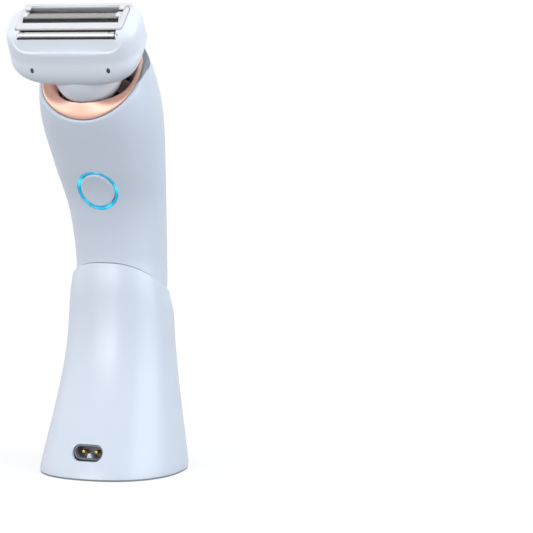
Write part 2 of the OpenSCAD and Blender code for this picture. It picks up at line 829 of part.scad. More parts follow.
module battery_tray() {
    outer_r = battery_d / 2 + seat_gap + tray_wall;
    color(dark) translate([0, foot_lead, 0]) {
        translate([0, 0, tail_z + tail_cap_t]) cylinder(d = tray_foot_d, h = tray_z - tail_z - tail_cap_t);
        translate([0, 0, tray_z]) cylinder(r = outer_r, h = tray_t);
        translate([0, 0, tray_z + tray_t]) difference() {
            cylinder(r = outer_r, h = battery_len);
            translate([0, 0, -over]) cylinder(d = battery_d + 2 * seat_gap, h = battery_len + 2 * over);
            box([-outer_r - over, -outer_r - over, -over], [outer_r + over, 0, battery_len + over]);
        }
    }
}

module battery() {
    color(glow_blue) translate([0, foot_lead, battery_z]) cylinder(d = battery_d, h = battery_len);
}

module battery_tabs() {
    color(steel) for (z = [battery_z - tab_t, battery_z + battery_len])
        translate([0, foot_lead, z]) cylinder(d = tab_d, h = tab_t);
}

module main_board() {
    color(board_green) at_neck() box([-board_w / 2, -board_face, -button_down - board_down],
                                     [board_w / 2, -board_face + board_t, -button_down + board_up]);
}

module power_switch() {
    color(steel) at_neck() {
        box([-switch_w / 2, -board_face - switch_t, -button_down - switch_w / 2],
            [switch_w / 2, -board_face, -button_down + switch_w / 2]);
    }
}

module light_ring() {
    color(glow_blue) at_neck() translate([0, -front_lead + light_set, -button_down]) difference() {
        rod_back(2 * light_r, light_t);
        translate([0, -over, 0]) rod_back(button_d + 2 * button_gap, light_t + 2 * over);
    }
}

module power_button() {
    stem = front_lead - board_face - switch_t - button_travel - seat_gap;
    color(white) at_neck() translate([0, -front_lead - button_proud, -button_down]) {
        rod_back(button_d, button_t);
        rod_back(button_stem_d, stem + button_proud);
    }
}

// Pivoting cradle

module pivot_cradle() {
    color(dark) at_head() difference() {
        union() {
            rod(hub_d, hub_w);
            cylinder(d = post_head_d, h = post_top);
        }
        translate([0, 0, -hub_d]) cylinder(d = drive_bore_d, h = post_top + 2 * hub_d);
        rod(pivot_d, hub_w + 2 * over);
    }
}

module pivot_pins() {
    inner = drive_bore_d / 2 + slide_gap;
    color(steel) at_head() for (side = [-1, 1])
        translate([side * (boss_out + inner) / 2, 0, 0]) rod(pivot_d, boss_out - inner);
}

// Head

module ball() {
    difference() {
        translate([0, stem_back, stem_up]) sphere(d = stem_d);
        translate([0, 0, stem_top + stem_d]) cube(2 * stem_d, center = true);
        translate([0, 0, stem_low - stem_d]) cube(2 * stem_d, center = true);
    }
}

// The room for the ball in the housing, turned from cones that lie just outside it
module ball_room() {
    step = 180 / ball_cones;
    r = (stem_d / 2 + seat_gap) / cos(step / 2);
    top = asin((stem_top + seat_gap - stem_up) / r);
    angles = [for (i = [0:ball_cones]) between(-90, top, i / ball_cones)];
    translate([0, stem_back, stem_up]) rotate_extrude()
        polygon(concat([[0, r * sin(top)]], [for (a = angles) [r * cos(a), r * sin(a)]]));
}

module head_stem() {
    color(body_blue) at_head() difference() {
        ball();
        cylinder(d = post_head_d + 2 * post_fit, h = socket_top);
        cylinder(d = drive_bore_d, h = head_up);
    }
}

module head_housing() {
    ends = [for (i = [0:head_rings]) between(-head_last, head_last, i / head_rings)];
    pocket = slide_gap;
    color(body_blue) at_head() difference() {
        skin([for (e = ends) [for (k = [0:ring_steps - 1]) head_point(e, turn(k))]]);
        ball_room();
        cylinder(d = drive_bore_d, h = arm_well_low + over);
        // Well of the drive arm, of the carriage and of the trimmer, and the pocket of the foil frame
        box([-arm_well_w / 2, -arm_well_front, arm_well_low],
            [arm_well_w / 2, arm_well_back, arm_well_top]);
        box([-foil_len / 2 - pocket, deep_front, deep_low],
            [foil_len / 2 + pocket, deep_back, head_top]);
        box([-foil_len / 2 - pocket, well_front, well_low],
            [foil_len / 2 + pocket, well_back, head_top]);
        translate([0, frame_back, pocket_low]) linear_extrude(head_h)
            rounded_square(frame_w + 2 * pocket, frame_d + 2 * pocket, frame_corner + pocket);
        // Sunk panel in the front, with the trough and the bearings of the roller
        translate([0, -panel_front, panel_low]) rotate([-panel_turn, 0, 0])
            translate([0, -panel_h, panel_h / 2]) rotate([-90, 0, 0]) linear_extrude(panel_h)
                rounded_square(panel_w, panel_h, panel_corner);
        translate([0, -roller_front, roller_up]) {
            rod(roller_d + 2 * roller_room, roller_len + 2 * roller_room);
            rod(roller_axle_d + 2 * run_gap, roller_len + 2 * (roller_axle_len + roller_room));
            box([-roller_len / 2 - roller_room, -roller_d / 2 - roller_room, 0],
                [roller_len / 2 + roller_room, roller_front + frame_back - frame_d / 2, head_h]);
        }
        for (x = [-1, 1]) translate([x * notch_x, -head_d / 2, notch_up]) rotate([-head_lean, 0, 0]) {
            translate([0, -notch_depth, 0]) rod_back(notch_w, 2 * notch_depth);
            box([-notch_w / 2, -notch_depth, -notch_h + notch_w / 2], [notch_w / 2, notch_depth, 0]);
        }
    }
}

module guide_roller() {
    color(steel) at_head() translate([0, -roller_front, roller_up]) {
        rod(roller_d, roller_len);
        rod(roller_axle_d, roller_len + 2 * roller_axle_len);
    }
}

module float_springs() {
    rise = float_travel + slide_gap;
    color(steel) at_head() for (side = [-1, 1]) translate([side * spring_x, frame_back, pocket_low])
        rotate([90, 0, 90]) linear_extrude(spring_w, center = true) difference() {
            translate([0, rise - spring_r]) circle(r = spring_r);
            translate([0, rise - spring_r]) circle(r = spring_r - spring_t);
            translate([-2 * spring_r, -2 * spring_r]) square([4 * spring_r, 2 * spring_r]);
        }
}

module foil_frame() {
    color(white) at_head() difference() {
        translate([0, frame_back, frame_top - frame_t]) linear_extrude(frame_t)
            rounded_square(frame_w, frame_d, frame_corner);
        box([-foil_len / 2 - seat_gap, foil_back - foil_r - seat_gap, 0],
            [foil_len / 2 + seat_gap, well_back, head_top + head_h]);
    }
}

module shaving_foil() {
    color(steel) at_head() translate([0, foil_back, foil_axis]) rotate([90, 0, 90])
        linear_extrude(foil_len, center = true) difference() {
            circle(r = foil_r);
            circle(r = foil_r - foil_t);
            translate([-2 * foil_r, -2 * foil_r]) square([4 * foil_r, 2 * foil_r]);
        }
}

module comb(back, length, low) {
    count = floor(length / comb_pitch);
    slot = comb_pitch - comb_tooth;
    translate([0, back + comb_t, 0]) rotate([90, 0, 0]) linear_extrude(comb_t) difference() {
        translate([-length / 2, low]) square([length, comb_top - low]);
        for (i = [0:count - 1])
            translate([(i - (count - 1) / 2) * comb_pitch - slot / 2, comb_top - comb_depth])
                square([slot, 2 * comb_depth]);
    }
}

module trimmer_comb() {
    color(steel) at_head() comb(comb_back + comb_t + comb_gap, foil_len, comb_low);
}

module trimmer_blade() {
    color(steel) at_head() comb(comb_back, cutter_len, carriage_top);
}

module cutter_carriage() {
    color(dark) at_head() {
        box([-carriage_w / 2, foil_back - carriage_d / 2, carriage_low],
            [carriage_w / 2, foil_back + carriage_d / 2, carriage_top]);
        box([-arm_w / 2, -fork_d / 2, carriage_low], [arm_w / 2, foil_back, carriage_top]);
        box([-arm_w / 2, -fork_d / 2, fork_top], [arm_w / 2, fork_d / 2, carriage_top]);
        for (side = [-1, 1]) translate([side * (fork_inner + fork_tine) / 2, 0, 0])
            box([-fork_tine / 2, -fork_d / 2, fork_low], [fork_tine / 2, fork_d / 2, fork_top + over]);
        for (side = [-1, 1]) translate([side * link_x, 0, 0])
            box([-link_w / 2, foil_back, carriage_top - link_t], [link_w / 2, comb_back, carriage_top]);
    }
}

module inner_cutter() {
    pitch = (cutter_len - blade_t) / (blade_count - 1);
    color(steel) at_head() translate([0, foil_back, foil_axis]) {
        for (i = [0:blade_count - 1]) translate([(i - (blade_count - 1) / 2) * pitch, 0, 0])
            rotate([90, 0, 90]) linear_extrude(blade_t, center = true) intersection() {
                circle(r = blade_r);
                translate([-blade_r, 0]) square([2 * blade_r, blade_r]);
            }
        box([-cutter_len / 2, -spine_t / 2, carriage_top - foil_axis],
            [cutter_len / 2, spine_t / 2, spine_t / 2]);
    }
}

stand_shell();
socket_cup();
base_plate();
foot_pad();
base_screws();
inlet_socket();
inlet_pins();
charger_board();
transformer();
dock_contacts();
front_shell();
back_shell();
tail_cap();
tail_contacts();
neck_collar();
neck_bowl();
motor_frame();
frame_screws();
motor();
battery_tray();
battery();
battery_tabs();
main_board();
power_switch();
light_ring();
power_button();
motor_shaft();
crank();
pivot_cradle();
pivot_pins();
head_housing();
head_stem();
guide_roller();
float_springs();
foil_frame();
shaving_foil();
trimmer_comb();
cutter_carriage();
inner_cutter();
trimmer_blade();
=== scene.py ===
"""Looks of a cordless body shaver in its charging stand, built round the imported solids.

Sizes in the dataclasses are in millimetres, and become metres when a mesh is made. The frame is that of the
solids: +Z up, the front of the shaver towards -Y, and the origin under the middle of the stand's foot.
"""

from __future__ import annotations

import logging
import math
from dataclasses import dataclass, field
from enum import Enum
from typing import Sequence

import bmesh
import bpy
import numpy as np
from mathutils import Matrix, Vector, kdtree


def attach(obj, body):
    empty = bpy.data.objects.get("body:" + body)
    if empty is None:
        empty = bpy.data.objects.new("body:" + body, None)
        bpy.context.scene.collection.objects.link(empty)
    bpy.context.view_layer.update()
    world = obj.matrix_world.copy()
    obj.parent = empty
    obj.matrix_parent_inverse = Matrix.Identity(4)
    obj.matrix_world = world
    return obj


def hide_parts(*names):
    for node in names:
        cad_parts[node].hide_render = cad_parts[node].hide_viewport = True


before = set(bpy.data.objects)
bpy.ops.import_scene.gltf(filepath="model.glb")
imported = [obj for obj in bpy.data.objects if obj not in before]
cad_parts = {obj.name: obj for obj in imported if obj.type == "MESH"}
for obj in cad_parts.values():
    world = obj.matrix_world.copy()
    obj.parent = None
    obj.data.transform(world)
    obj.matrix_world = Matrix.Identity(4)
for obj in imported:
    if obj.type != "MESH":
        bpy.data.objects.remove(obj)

LOG = logging.getLogger("shaver")
MM = 0.001
TURN = 2 * math.pi
Array = np.ndarray
Triple = tuple[float, float, float]
Colour = Triple
Profile = tuple[tuple[float, float], ...]
SIDES = (-1, 1)
NEAR_AXIS = 0.02
CORNER_SHARE = 0.48
SLOT_ROUND = 0.999
SHARP = 35.0
CUT_SHARP = 30.0
NODE_SHARP = 25.0
MERGE = 1e-6
CELL_MERGE = 2e-6
TOOTH_TIP = 0.55
TOOTH_THIN = 0.5
TOOTH_SINK = 0.498
TURNED_SHARP = 50.0
NORMAL_MATCH = 0.94


class Slot(Enum):
    """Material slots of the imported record."""

    SHELL = "shell_blue"
    HEAD = "head_blue"
    COPPER = "collar_copper"
    DARK = "dark_plastic"
    WHITE = "frame_white"
    FOIL = "foil_steel"
    BLADE = "blade_steel"
    BRASS = "contact_brass"
    BOARD = "board_green"
    GLOW = "glow_ring"
    PEARL = "button_pearl"
    RUBBER = "rubber_foot"
    CELL = "cell_wrap"


# Curves and forms, shared with the solids


def signed_power(value: Array, power: float) -> Array:
    """Power that keeps the sign, which gives rounded squares."""
    return np.sign(value) * np.abs(value) ** power


def oval(half_w: Array, half_d: Array, square: Array | float, angle: Array) -> tuple[Array, Array]:
    """Points of a rounded square.

    Args:
        half_w: Half of its width.
        half_d: Half of its depth.
        square: How square it is, 2 for an ellipse.
        angle: Angle of each point in radians.

    Returns:
        The points' places across and along the depth.
    """
    return half_w * signed_power(np.cos(angle), 2 / square), half_d * signed_power(np.sin(angle), 2 / square)


def even_angles(count: int, square: float, start: float = 0.0, end: float = TURN, closed: bool = True) -> Array:
    """Angles that space the points of a rounded square evenly round its middle.

    Args:
        count: Number of points.
        square: How square it is.
        start: First direction in radians.
        end: Last direction in radians.
        closed: Whether the end meets the start, and is left out.

    Returns:
        The angles for oval().
    """
    way = np.linspace(start, end, count, endpoint=not closed)
    return np.arctan2(signed_power(np.sin(way), square / 2), signed_power(np.cos(way), square / 2))


def eased(x: Array, low: float, high: float) -> Array:
    """Smooth step from 0 at low to 1 at high."""
    s = np.clip((x - low) / (high - low), 0, 1)
    return s * s * (3 - 2 * s)


def rolled(distance: Array, radius: float) -> Array:
    """How far a rounded edge draws in, at a distance below that edge."""
    rest = np.clip(radius - distance, 0, radius)
    return radius - np.sqrt(radius * radius - rest * rest)


@dataclass(frozen=True)
class Sections:
    """Smooth curve through a list of sections: height, middle along Y, half width, half depth."""

    rows: tuple[tuple[float, float, float, float], ...]

    def at(self, z: Array, column: int) -> Array:
        """Value of one column at the heights z."""
        table = np.array(self.rows)
        heights, values = table[:, 0], table[:, column]
        last = len(heights) - 1
        before = np.maximum(np.arange(last + 1) - 1, 0)
        after = np.minimum(np.arange(last + 1) + 1, last)
        slopes = (values[after] - values[before]) / (heights[after] - heights[before])
        i = np.clip(np.searchsorted(heights, z, side="right") - 1, 0, last - 1)
        width = heights[i + 1] - heights[i]
        s = (z - heights[i]) / width
        s2, s3 = s * s, s * s * s
        start = (2 * s3 - 3 * s2 + 1) * values[i] + (s3 - 2 * s2 + s) * width * slopes[i]
        return start + (3 * s2 - 2 * s3) * values[i + 1] + (s3 - s2) * width * slopes[i + 1]

    def ring(self, z: Array, angle: Array, inset: Array | float, square: Array | float) -> Array:
        """Points round the curve at the heights z, set in by a wall."""
        x, y = oval(self.at(z, 2) - inset, self.at(z, 3) - inset, square, angle)
        return np.stack([x, self.at(z, 1) + y, z + 0 * x], -1)


@dataclass(frozen=True)
class HandleForm:
    """The handle's skin, from the end of the tail to the hood behind the head."""

    sections: Sections = Sections((
        (22.0, 6.8, 9.0, 8.5), (43.09, 6.8, 12.5, 11.8), (66.0, 6.8, 16.2, 15.1), (79.0, 6.8, 16.3, 15.2),
        (97.0, 3.2, 17.5, 15.5), (113.0, -3.6, 19.8, 17.0), (129.0, -10.0, 21.6, 18.6),
        (140.0, -13.2, 21.2, 18.6), (152.0, -16.3, 18.4, 17.2), (166.0, -19.0, 11.1, 13.1)))
    square: float = 2.5
    tail_z: float = 22.0
    wall: float = 1.8
    rim_front: float = 129.6
    rim_rise: float = 35.7
    rim_bend: float = 0.82
    flute_depth: float = 1.0
    flute_at: float = 42.0
    flute_spread: float = 17.0
    flute_mid: float = 89.0
    flute_half: float = 50.0
    front_reach: float = 30.0
    front_halvings: int = 40

    def plain(self, z: Array, angle: Array, inset: Array | float) -> Array:
        """Points of the skin without its flutes, set in by a wall."""
        return self.sections.ring(z, angle, inset, self.square)

    def flute(self, z: Array, angle: Array) -> Array:
        """Depth of the flutes behind the sides."""
        degrees = np.degrees(angle)
        off = np.minimum(np.abs(degrees - self.flute_at), np.abs(degrees - 180 + self.flute_at))
        round_it = np.cos(np.clip(off / self.flute_spread, 0, 1) * math.pi / 2) ** 2
        along = np.cos(np.clip(np.abs(z - self.flute_mid) / self.flute_half, 0, 1) * math.pi / 2) ** 2
        return self.flute_depth * round_it * along

    def skin(self, z: Array, angle: Array, inset: Array | float) -> Array:
        """Points of the skin with its flutes, set in by a wall."""
        return self.plain(z, angle, inset + self.flute(z, angle))

    def rim(self, angle: Array) -> Array:
        """Height of the neck's rim, which climbs from its front to the hood's tip."""
        return self.rim_front + self.rim_rise * ((1 + np.sin(angle)) / 2) ** self.rim_bend

    def front(self, x: Array, up: Array, neck: Matrix) -> Array:
        """Place of the front skin along the neck frame's depth.

        Args:
            x: Places across.
            up: Places along the neck's axis.
            neck: The neck's frame in millimetres.

        Returns:
            The depth at which a line along the neck frame's Y meets the skin.
        """
        turn = np.array(neck)
        low, high = np.full(x.shape, -self.front_reach), np.zeros(x.shape)
        for _ in range(self.front_halvings):
            depth = (low + high) / 2
            across, back, z = (turn[k, 0] * x + turn[k, 1] * depth + turn[k, 2] * up + turn[k, 3] for k in range(3))
            share = np.abs(across / self.sections.at(z, 2)) ** self.square
            share = share + np.abs((back - self.sections.at(z, 1)) / self.sections.at(z, 3)) ** self.square
            outside = share > 1
            low, high = np.where(outside, depth, low), np.where(outside, high, depth)
        return (low + high) / 2


@dataclass(frozen=True)
class StandForm:
    """The stand's skin, from its foot to its slanted rim."""

    handle: HandleForm = HandleForm()
    sections: Sections = Sections((
        (0.0, 0.0, 26.7, 28.4), (42.0, 5.984, 20.2, 18.8), (77.2, 6.8, 17.95, 16.85)))
    low: float = 0.7
    rim_h: float = 77.2
    rim_drop: float = 18.4
    wall: float = 1.3
    gap: float = 0.35
    lip: float = 0.9
    lip_start: float = 0.85
    lip_bend: float = 2.6
    collar: tuple[float, float] = (0.66, 0.84)
    square: tuple[float, float] = (2.3, 2.5)
    edge: float = 0.3

    def plain(self, z: Array, angle: Array, inset: Array | float) -> Array:
        """Points of the flared wall, set in by a wall."""
        square = self.square[0] + (self.square[1] - self.square[0]) * z / self.rim_h
        return self.sections.ring(z, angle, inset, square)

    def height(self, share: Array, angle: Array) -> Array:
        """Height of a share of the way from the foot to the rim."""
        rim = self.rim_h - self.rim_drop * (1 + np.sin(angle)) / 2 - self.edge
        return self.low + (rim - self.low) * share

    def outer(self, share: Array, angle: Array) -> Array:
        """Points of the outer skin, which rolls in towards the handle at the rim."""
        z = self.height(share, angle)
        roll = np.clip((share - self.lip_start) / (1 - self.lip_start), 0, 1)[..., None] ** self.lip_bend
        flat = self.plain(z, angle, rolled(z - self.low, self.edge))
        return flat + (self.handle.plain(z, angle, -self.gap - self.lip) - flat) * roll

    def inner(self, share: Array, angle: Array) -> Array:
        """Points of the inner skin, which closes round the tail near the rim."""
        z = self.height(share, angle)
        near = eased(share, *self.collar)[..., None]
        flat = self.plain(z, angle, self.wall)
        return flat + (self.handle.plain(z, angle, -self.gap) - flat) * near


@dataclass(frozen=True)
class HeadForm:
    """The head's body in its own frame: across, back, and along its axis."""

    half_w: float = 25.2
    half_d: float = 9.8
    half_h: float = 10.3
    low_h: float = 10.2
    shear: float = 0.4
    low_shear: float = 0.5
    up: float = 28.8
    back: float = 1.0
    tip: float = 3.0
    top_square: float = 5.0
    low_square: float = 2.2
    side_square: float = 3.8
    crown_square: float = 10.0
    belly_square: float = 1.75
    panel_half: float = 21.3
    panel_corner: float = 6.0
    panel_low: float = 33.0
    panel_front: float = 6.44
    panel_turn: float = 33.0
    panel_soft: tuple[float, float] = (-0.15, 0.5)
    ridge: float = 0.45
    ridge_reach: float = 3.0
    ridge_depth: tuple[float, float] = (-5.0, -2.0)

    def bare(self, end: Array, angle: Array) -> Array:
        """Points of the body before its front panel is sunk.

        Args:
            end: Angle towards the ends in radians.
            angle: Angle round the section in radians.

        Returns:
            The points in the head's frame.
        """
        top = np.sin(angle) >= 0
        p0, p1 = oval(self.half_d, np.where(top, self.half_h, self.low_h),
                      np.where(top, self.top_square, self.low_square), angle)
        inward = np.clip(np.cos(end), 0, 1)
        deep = inward ** (2 / self.side_square)
        high = inward ** (2 / np.where(top, self.crown_square, self.belly_square))
        x = self.half_w * signed_power(np.sin(end), 2 / self.side_square) + 0 * angle
        v = self.back + self.tip * (1 - deep) + deep * (p0 + np.where(top, self.shear, self.low_shear) * p1)
        return np.stack([x, v, self.up + high * p1], -1)

    def sunk(self, points: Array) -> Array:
        """Presses the soft-edged panel into the front of the body.

        Args:
            points: Points of the body in the head's frame.

        Returns:
            The points, with those ahead of the panel moved back to it.
        """
        turn = math.radians(self.panel_turn)
        along = np.array([0.0, math.sin(turn), math.cos(turn)])
        out = np.array([0.0, -math.cos(turn), math.sin(turn)])
        away = points - np.array([0.0, -self.panel_front, self.panel_low])
        up, ahead = away @ along, away @ out
        r = self.panel_corner
        qx = np.abs(points[..., 0]) - (self.panel_half - r)
        qz = r - up
        corner = np.hypot(np.clip(qx, 0, None), np.clip(qz, 0, None)) + np.minimum(np.maximum(qx, qz), 0)
        inside = eased(r - corner, *self.panel_soft)
        near = np.exp(-(np.clip(corner - r, 0, None) / self.ridge_reach) ** 2) * (1 - inside)
        raised = self.ridge * near * eased(ahead, *self.ridge_depth)
        return points + (raised - np.clip(ahead, 0, None) * inside)[..., None] * out


# Meshes


def grid_faces(rows: int, columns: int, closed_rows: bool = False, closed_columns: bool = False) -> Array:
    """Faces of a grid of points, row after row.

    Args:
        rows: Number of rows.
        columns: Points in a row.
        closed_rows: Whether the last row joins the first.
        closed_columns: Whether a row's last point joins its first.

    Returns:
        One row of four point numbers for each face.
    """
    i, k = np.meshgrid(np.arange(rows if closed_rows else rows - 1),
                       np.arange(columns if closed_columns else columns - 1), indexing="ij")
    up, right = (i + 1) % rows, (k + 1) % columns
    return np.stack([i * columns + k, i * columns + right, up * columns + right, up * columns + k],
                    -1).reshape(-1, 4)


def linked(name: str, data: bpy.types.ID) -> bpy.types.Object:
    """New object with its data, linked to the scene."""
    made = bpy.data.objects.new(name, data)
    bpy.context.scene.collection.objects.link(made)
    return made


def baked(piece: bpy.types.Object) -> bpy.types.Mesh:
    """Mesh of a piece with its modifiers applied, which are then cleared."""
    view = bpy.context.evaluated_depsgraph_get()
    mesh = bpy.data.meshes.new_from_object(piece.evaluated_get(view))
    piece.modifiers.clear()
    return mesh


def new_piece(name: str, points: Array, faces: Sequence[Sequence[int]], matrix: Matrix | None = None,
              sharp: float = SHARP) -> bpy.types.Object:
    """Makes a closed mesh piece with its place in its mesh.

    Args:
        name: The piece's name.
        points: Its points in millimetres.
        faces: Its faces as point numbers.
        matrix: Frame that the points are in, in millimetres.
        sharp: Angle in degrees past which an edge stays sharp.

    Returns:
        The new object, linked to the scene.
    """
    mesh = bpy.data.meshes.new(name)
    mesh.from_pydata(np.reshape(points, (-1, 3)).tolist(), [], [list(map(int, f)) for f in faces])
    if matrix is not None:
        mesh.transform(matrix)
    mesh.transform(Matrix.Scale(MM, 4))
    tool = bmesh.new()
    tool.from_mesh(mesh)
    bmesh.ops.remove_doubles(tool, verts=tool.verts, dist=MERGE)
    bmesh.ops.recalc_face_normals(tool, faces=tool.faces)
    tool.to_mesh(mesh)
    tool.free()
    smooth(mesh, sharp)
    return linked(name, mesh)


def smooth(mesh: bpy.types.Mesh, sharp: float) -> None:
    """Shades a mesh smoothly, apart from edges past an angle in degrees."""
    mesh.shade_smooth()
    mesh.set_sharp_from_angle(angle=math.radians(sharp))


def loft(name: str, rings: Sequence[Array], matrix: Matrix | None = None, looped: bool = False,
         sharp: float = SHARP) -> bpy.types.Object:
    """Skins closed rings of points.

    Args:
        name: The piece's name.
        rings: Rings with the same number of points.
        matrix: Frame that the points are in, in millimetres.
        looped: Whether the last ring joins the first; otherwise both ends are closed.
        sharp: Angle in degrees past which an edge stays sharp.

    Returns:
        The new object.
    """
    columns = len(rings[0])
    faces = grid_faces(len(rings), columns, looped, True).tolist()
    if not looped:
        faces.append(list(range(columns)))
        faces.append(list(range((len(rings) - 1) * columns, len(rings) * columns)))
    return new_piece(name, np.concatenate(rings), faces, matrix, sharp)


def circle(radius: float, steps: int) -> Array:
    """Outline of a circle, as rows of x and y."""
    way = np.linspace(0, TURN, steps, endpoint=False)
    return radius * np.stack([np.cos(way), np.sin(way)], -1)


def arc(start: float, end: float, steps: int) -> Array:
    """Points of a unit circle between two angles in degrees, as rows of x and y."""
    way = np.radians(np.linspace(start, end, steps))
    return np.stack([np.cos(way), np.sin(way)], -1)


def level(flat: Array, height: float) -> Array:
    """Rows of x and y raised to a height."""
    return np.column_stack([flat, np.full(len(flat), height)])


def lathe(name: str, profile: Sequence[tuple[float, float]], matrix: Matrix, steps: int = 96,
          looped: bool = False, sharp: float = SHARP) -> bpy.types.Object:
    """Turns a profile of radius and height about a frame's Z axis.

    Args:
        name: The piece's name.
        profile: Radius and height of each ring.
        matrix: Frame of the axis, in millimetres.
        steps: Points in a ring.
        looped: Whether the profile is closed, as that of a hollow piece is.
        sharp: Angle in degrees past which an edge stays sharp.

    Returns:
        The new object.
    """
    return loft(name, [level(circle(r, steps), h) for r, h in profile], matrix, looped, sharp)


def rounded(profile: Sequence[tuple[float, float]], radius: float, steps: int = 5,
            closed: bool = False) -> list[tuple[float, float]]:
    """Rounds the corners of a flat profile.

    Args:
        profile: Its corners.
        radius: Length that a corner takes up on each side.
        steps: Points that replace a corner.
        closed: Whether the profile's end joins its start, so that those corners are rounded too.

    Returns:
        The profile with rounded corners.
    """
    corners = [np.array([p], float) for p in profile]
    return [tuple(ring[0]) for ring in rounded_rings(corners, [radius] * len(corners), steps, 0, closed)]


def rounded_rings(corners: Sequence[Array], radii: Sequence[float], steps: int = 5, between: int = 1,
                  closed: bool = True) -> list[Array]:
    """Rounds the corners of a profile that runs round a ring, where each corner is a ring of points.

    Args:
        corners: Rings of points, one for each corner of the profile.
        radii: Length that each corner takes up on each side.
        steps: Rings that replace a corner.
        between: Extra rings along the way from one corner to the next.
        closed: Whether the profile's end joins its start.

    Returns:
        The rings of the rounded profile.
    """
    count = len(corners)
    made: list[Array] = []
    for i, corner in enumerate(corners):
        a, b = corner, corner
        if closed or i not in (0, count - 1):
            ways = corners[i - 1] - corner, corners[(i + 1) % count] - corner
            a, b = (corner + way * np.minimum(CORNER_SHARE, radii[i] / np.maximum(
                np.linalg.norm(way, axis=1), 1e-6))[:, None] for way in ways)
        turns = [corner] if a is b else [
            (1 - t) ** 2 * a + 2 * t * (1 - t) * corner + t * t * b for t in np.linspace(0, 1, steps)]
        if made and between:
            start, end = made[-1], turns[0]
            made.extend(start + (end - start) * k / (between + 1) for k in range(1, between + 1))
        made.extend(turns)
    return made


def rounded_rectangle(half_w: float, half_d: float, corner: float, steps: int = 8) -> Array:
    """Outline of a rectangle with round corners, anticlockwise, as rows of x and y."""
    points = []
    for quarter, (sx, sy) in enumerate(((1, 1), (-1, 1), (-1, -1), (1, -1))):
        for t in np.linspace(0, math.pi / 2, steps):
            turn = t + quarter * math.pi / 2
            points.append((sx * (half_w - corner) + corner * math.cos(turn),
                           sy * (half_d - corner) + corner * math.sin(turn)))
    return np.array(points)


def stadium(half_w: float, half_h: float, steps: int = 24) -> Array:
    """Outline of a slot with round ends, as rows of x and z."""
    return rounded_rectangle(half_w, half_h, half_h * SLOT_ROUND, steps)


def prism(name: str, outline: Array, low: float, high: float, matrix: Matrix | None = None,
          edge: float = 0.0) -> bpy.types.Object:
    """Raises an outline from one height to another.

    Args:
        name: The piece's name.
        outline: Rows of x and y.
        low: Height of its bottom.
        high: Height of its top.
        matrix: Frame that it stands in, in millimetres.
        edge: Radius of its rounded edges.

    Returns:
        The new object.
    """
    middle = outline.mean(0)
    away = outline - middle
    reach = np.linalg.norm(away, axis=1)[:, None]
    rises = np.linspace(0, edge, 5 if edge else 1)
    flats = [middle + away * (1 - rolled(rise, edge) / reach) if edge else outline for rise in rises]
    rings = [level(flat, low + rise) for flat, rise in zip(flats, rises)]
    rings += [level(flat, high - rise) for flat, rise in zip(flats[::-1], rises[::-1])]
    return loft(name, rings, matrix)


def carve(piece: bpy.types.Object, cutters: Sequence[bpy.types.Object]) -> None:
    """Cuts shapes out of a piece and keeps its smooth shading.

    Args:
        piece: The piece, which keeps its name.
        cutters: Shapes to cut away, which are removed.
    """
    source = piece.data
    tree = kdtree.KDTree(len(source.vertices))
    for v in source.vertices:
        tree.insert(v.co, v.index)
    tree.balance()
    corners = {i: [] for i in range(len(source.vertices))}
    normals = [n.vector.copy() for n in source.corner_normals]
    for loop in source.loops:
        corners[loop.vertex_index].append(normals[loop.index])
    for cutter in cutters:
        step = piece.modifiers.new("cut", "BOOLEAN")
        step.operation, step.solver, step.object = "DIFFERENCE", "EXACT", cutter
    cut = baked(piece)
    piece.data = cut
    for cutter in cutters:
        bpy.data.objects.remove(cutter)
    smooth(cut, CUT_SHARP)
    own = [n.vector.copy() for n in cut.corner_normals]
    near = [[n for _, i, _ in tree.find_n(v.co, 3) for n in corners[i]] for v in cut.vertices]
    for face in cut.polygons:
        for k in face.loop_indices:
            found = [n for n in near[cut.loops[k].vertex_index] if n.dot(face.normal) > NORMAL_MATCH]
            if found:
                own[k] = sum(found, Vector()).normalized()
    cut.normals_split_custom_set(own)
    cut.name = piece.name


def block(name: str, low: Sequence[float], high: Sequence[float], matrix: Matrix,
          corner: float = 0.3) -> bpy.types.Object:
    """Box between two corners, with rounded upright edges."""
    middle = Matrix.Translation(((low[0] + high[0]) / 2, (low[1] + high[1]) / 2, 0))
    outline = rounded_rectangle((high[0] - low[0]) / 2, (high[1] - low[1]) / 2, corner)
    return prism(name, outline, low[2], high[2], matrix @ middle)


def joined(name: str, pieces: Sequence[bpy.types.Object]) -> bpy.types.Object:
    """Puts the meshes of several pieces into one piece and removes the rest."""
    tool = bmesh.new()
    for piece in pieces:
        tool.from_mesh(piece.data)
    mesh = bpy.data.meshes.new(name)
    tool.to_mesh(mesh)
    tool.free()
    for piece in pieces:
        bpy.data.objects.remove(piece)
    smooth(mesh, SHARP)
    return linked(name, mesh)


# Node trees


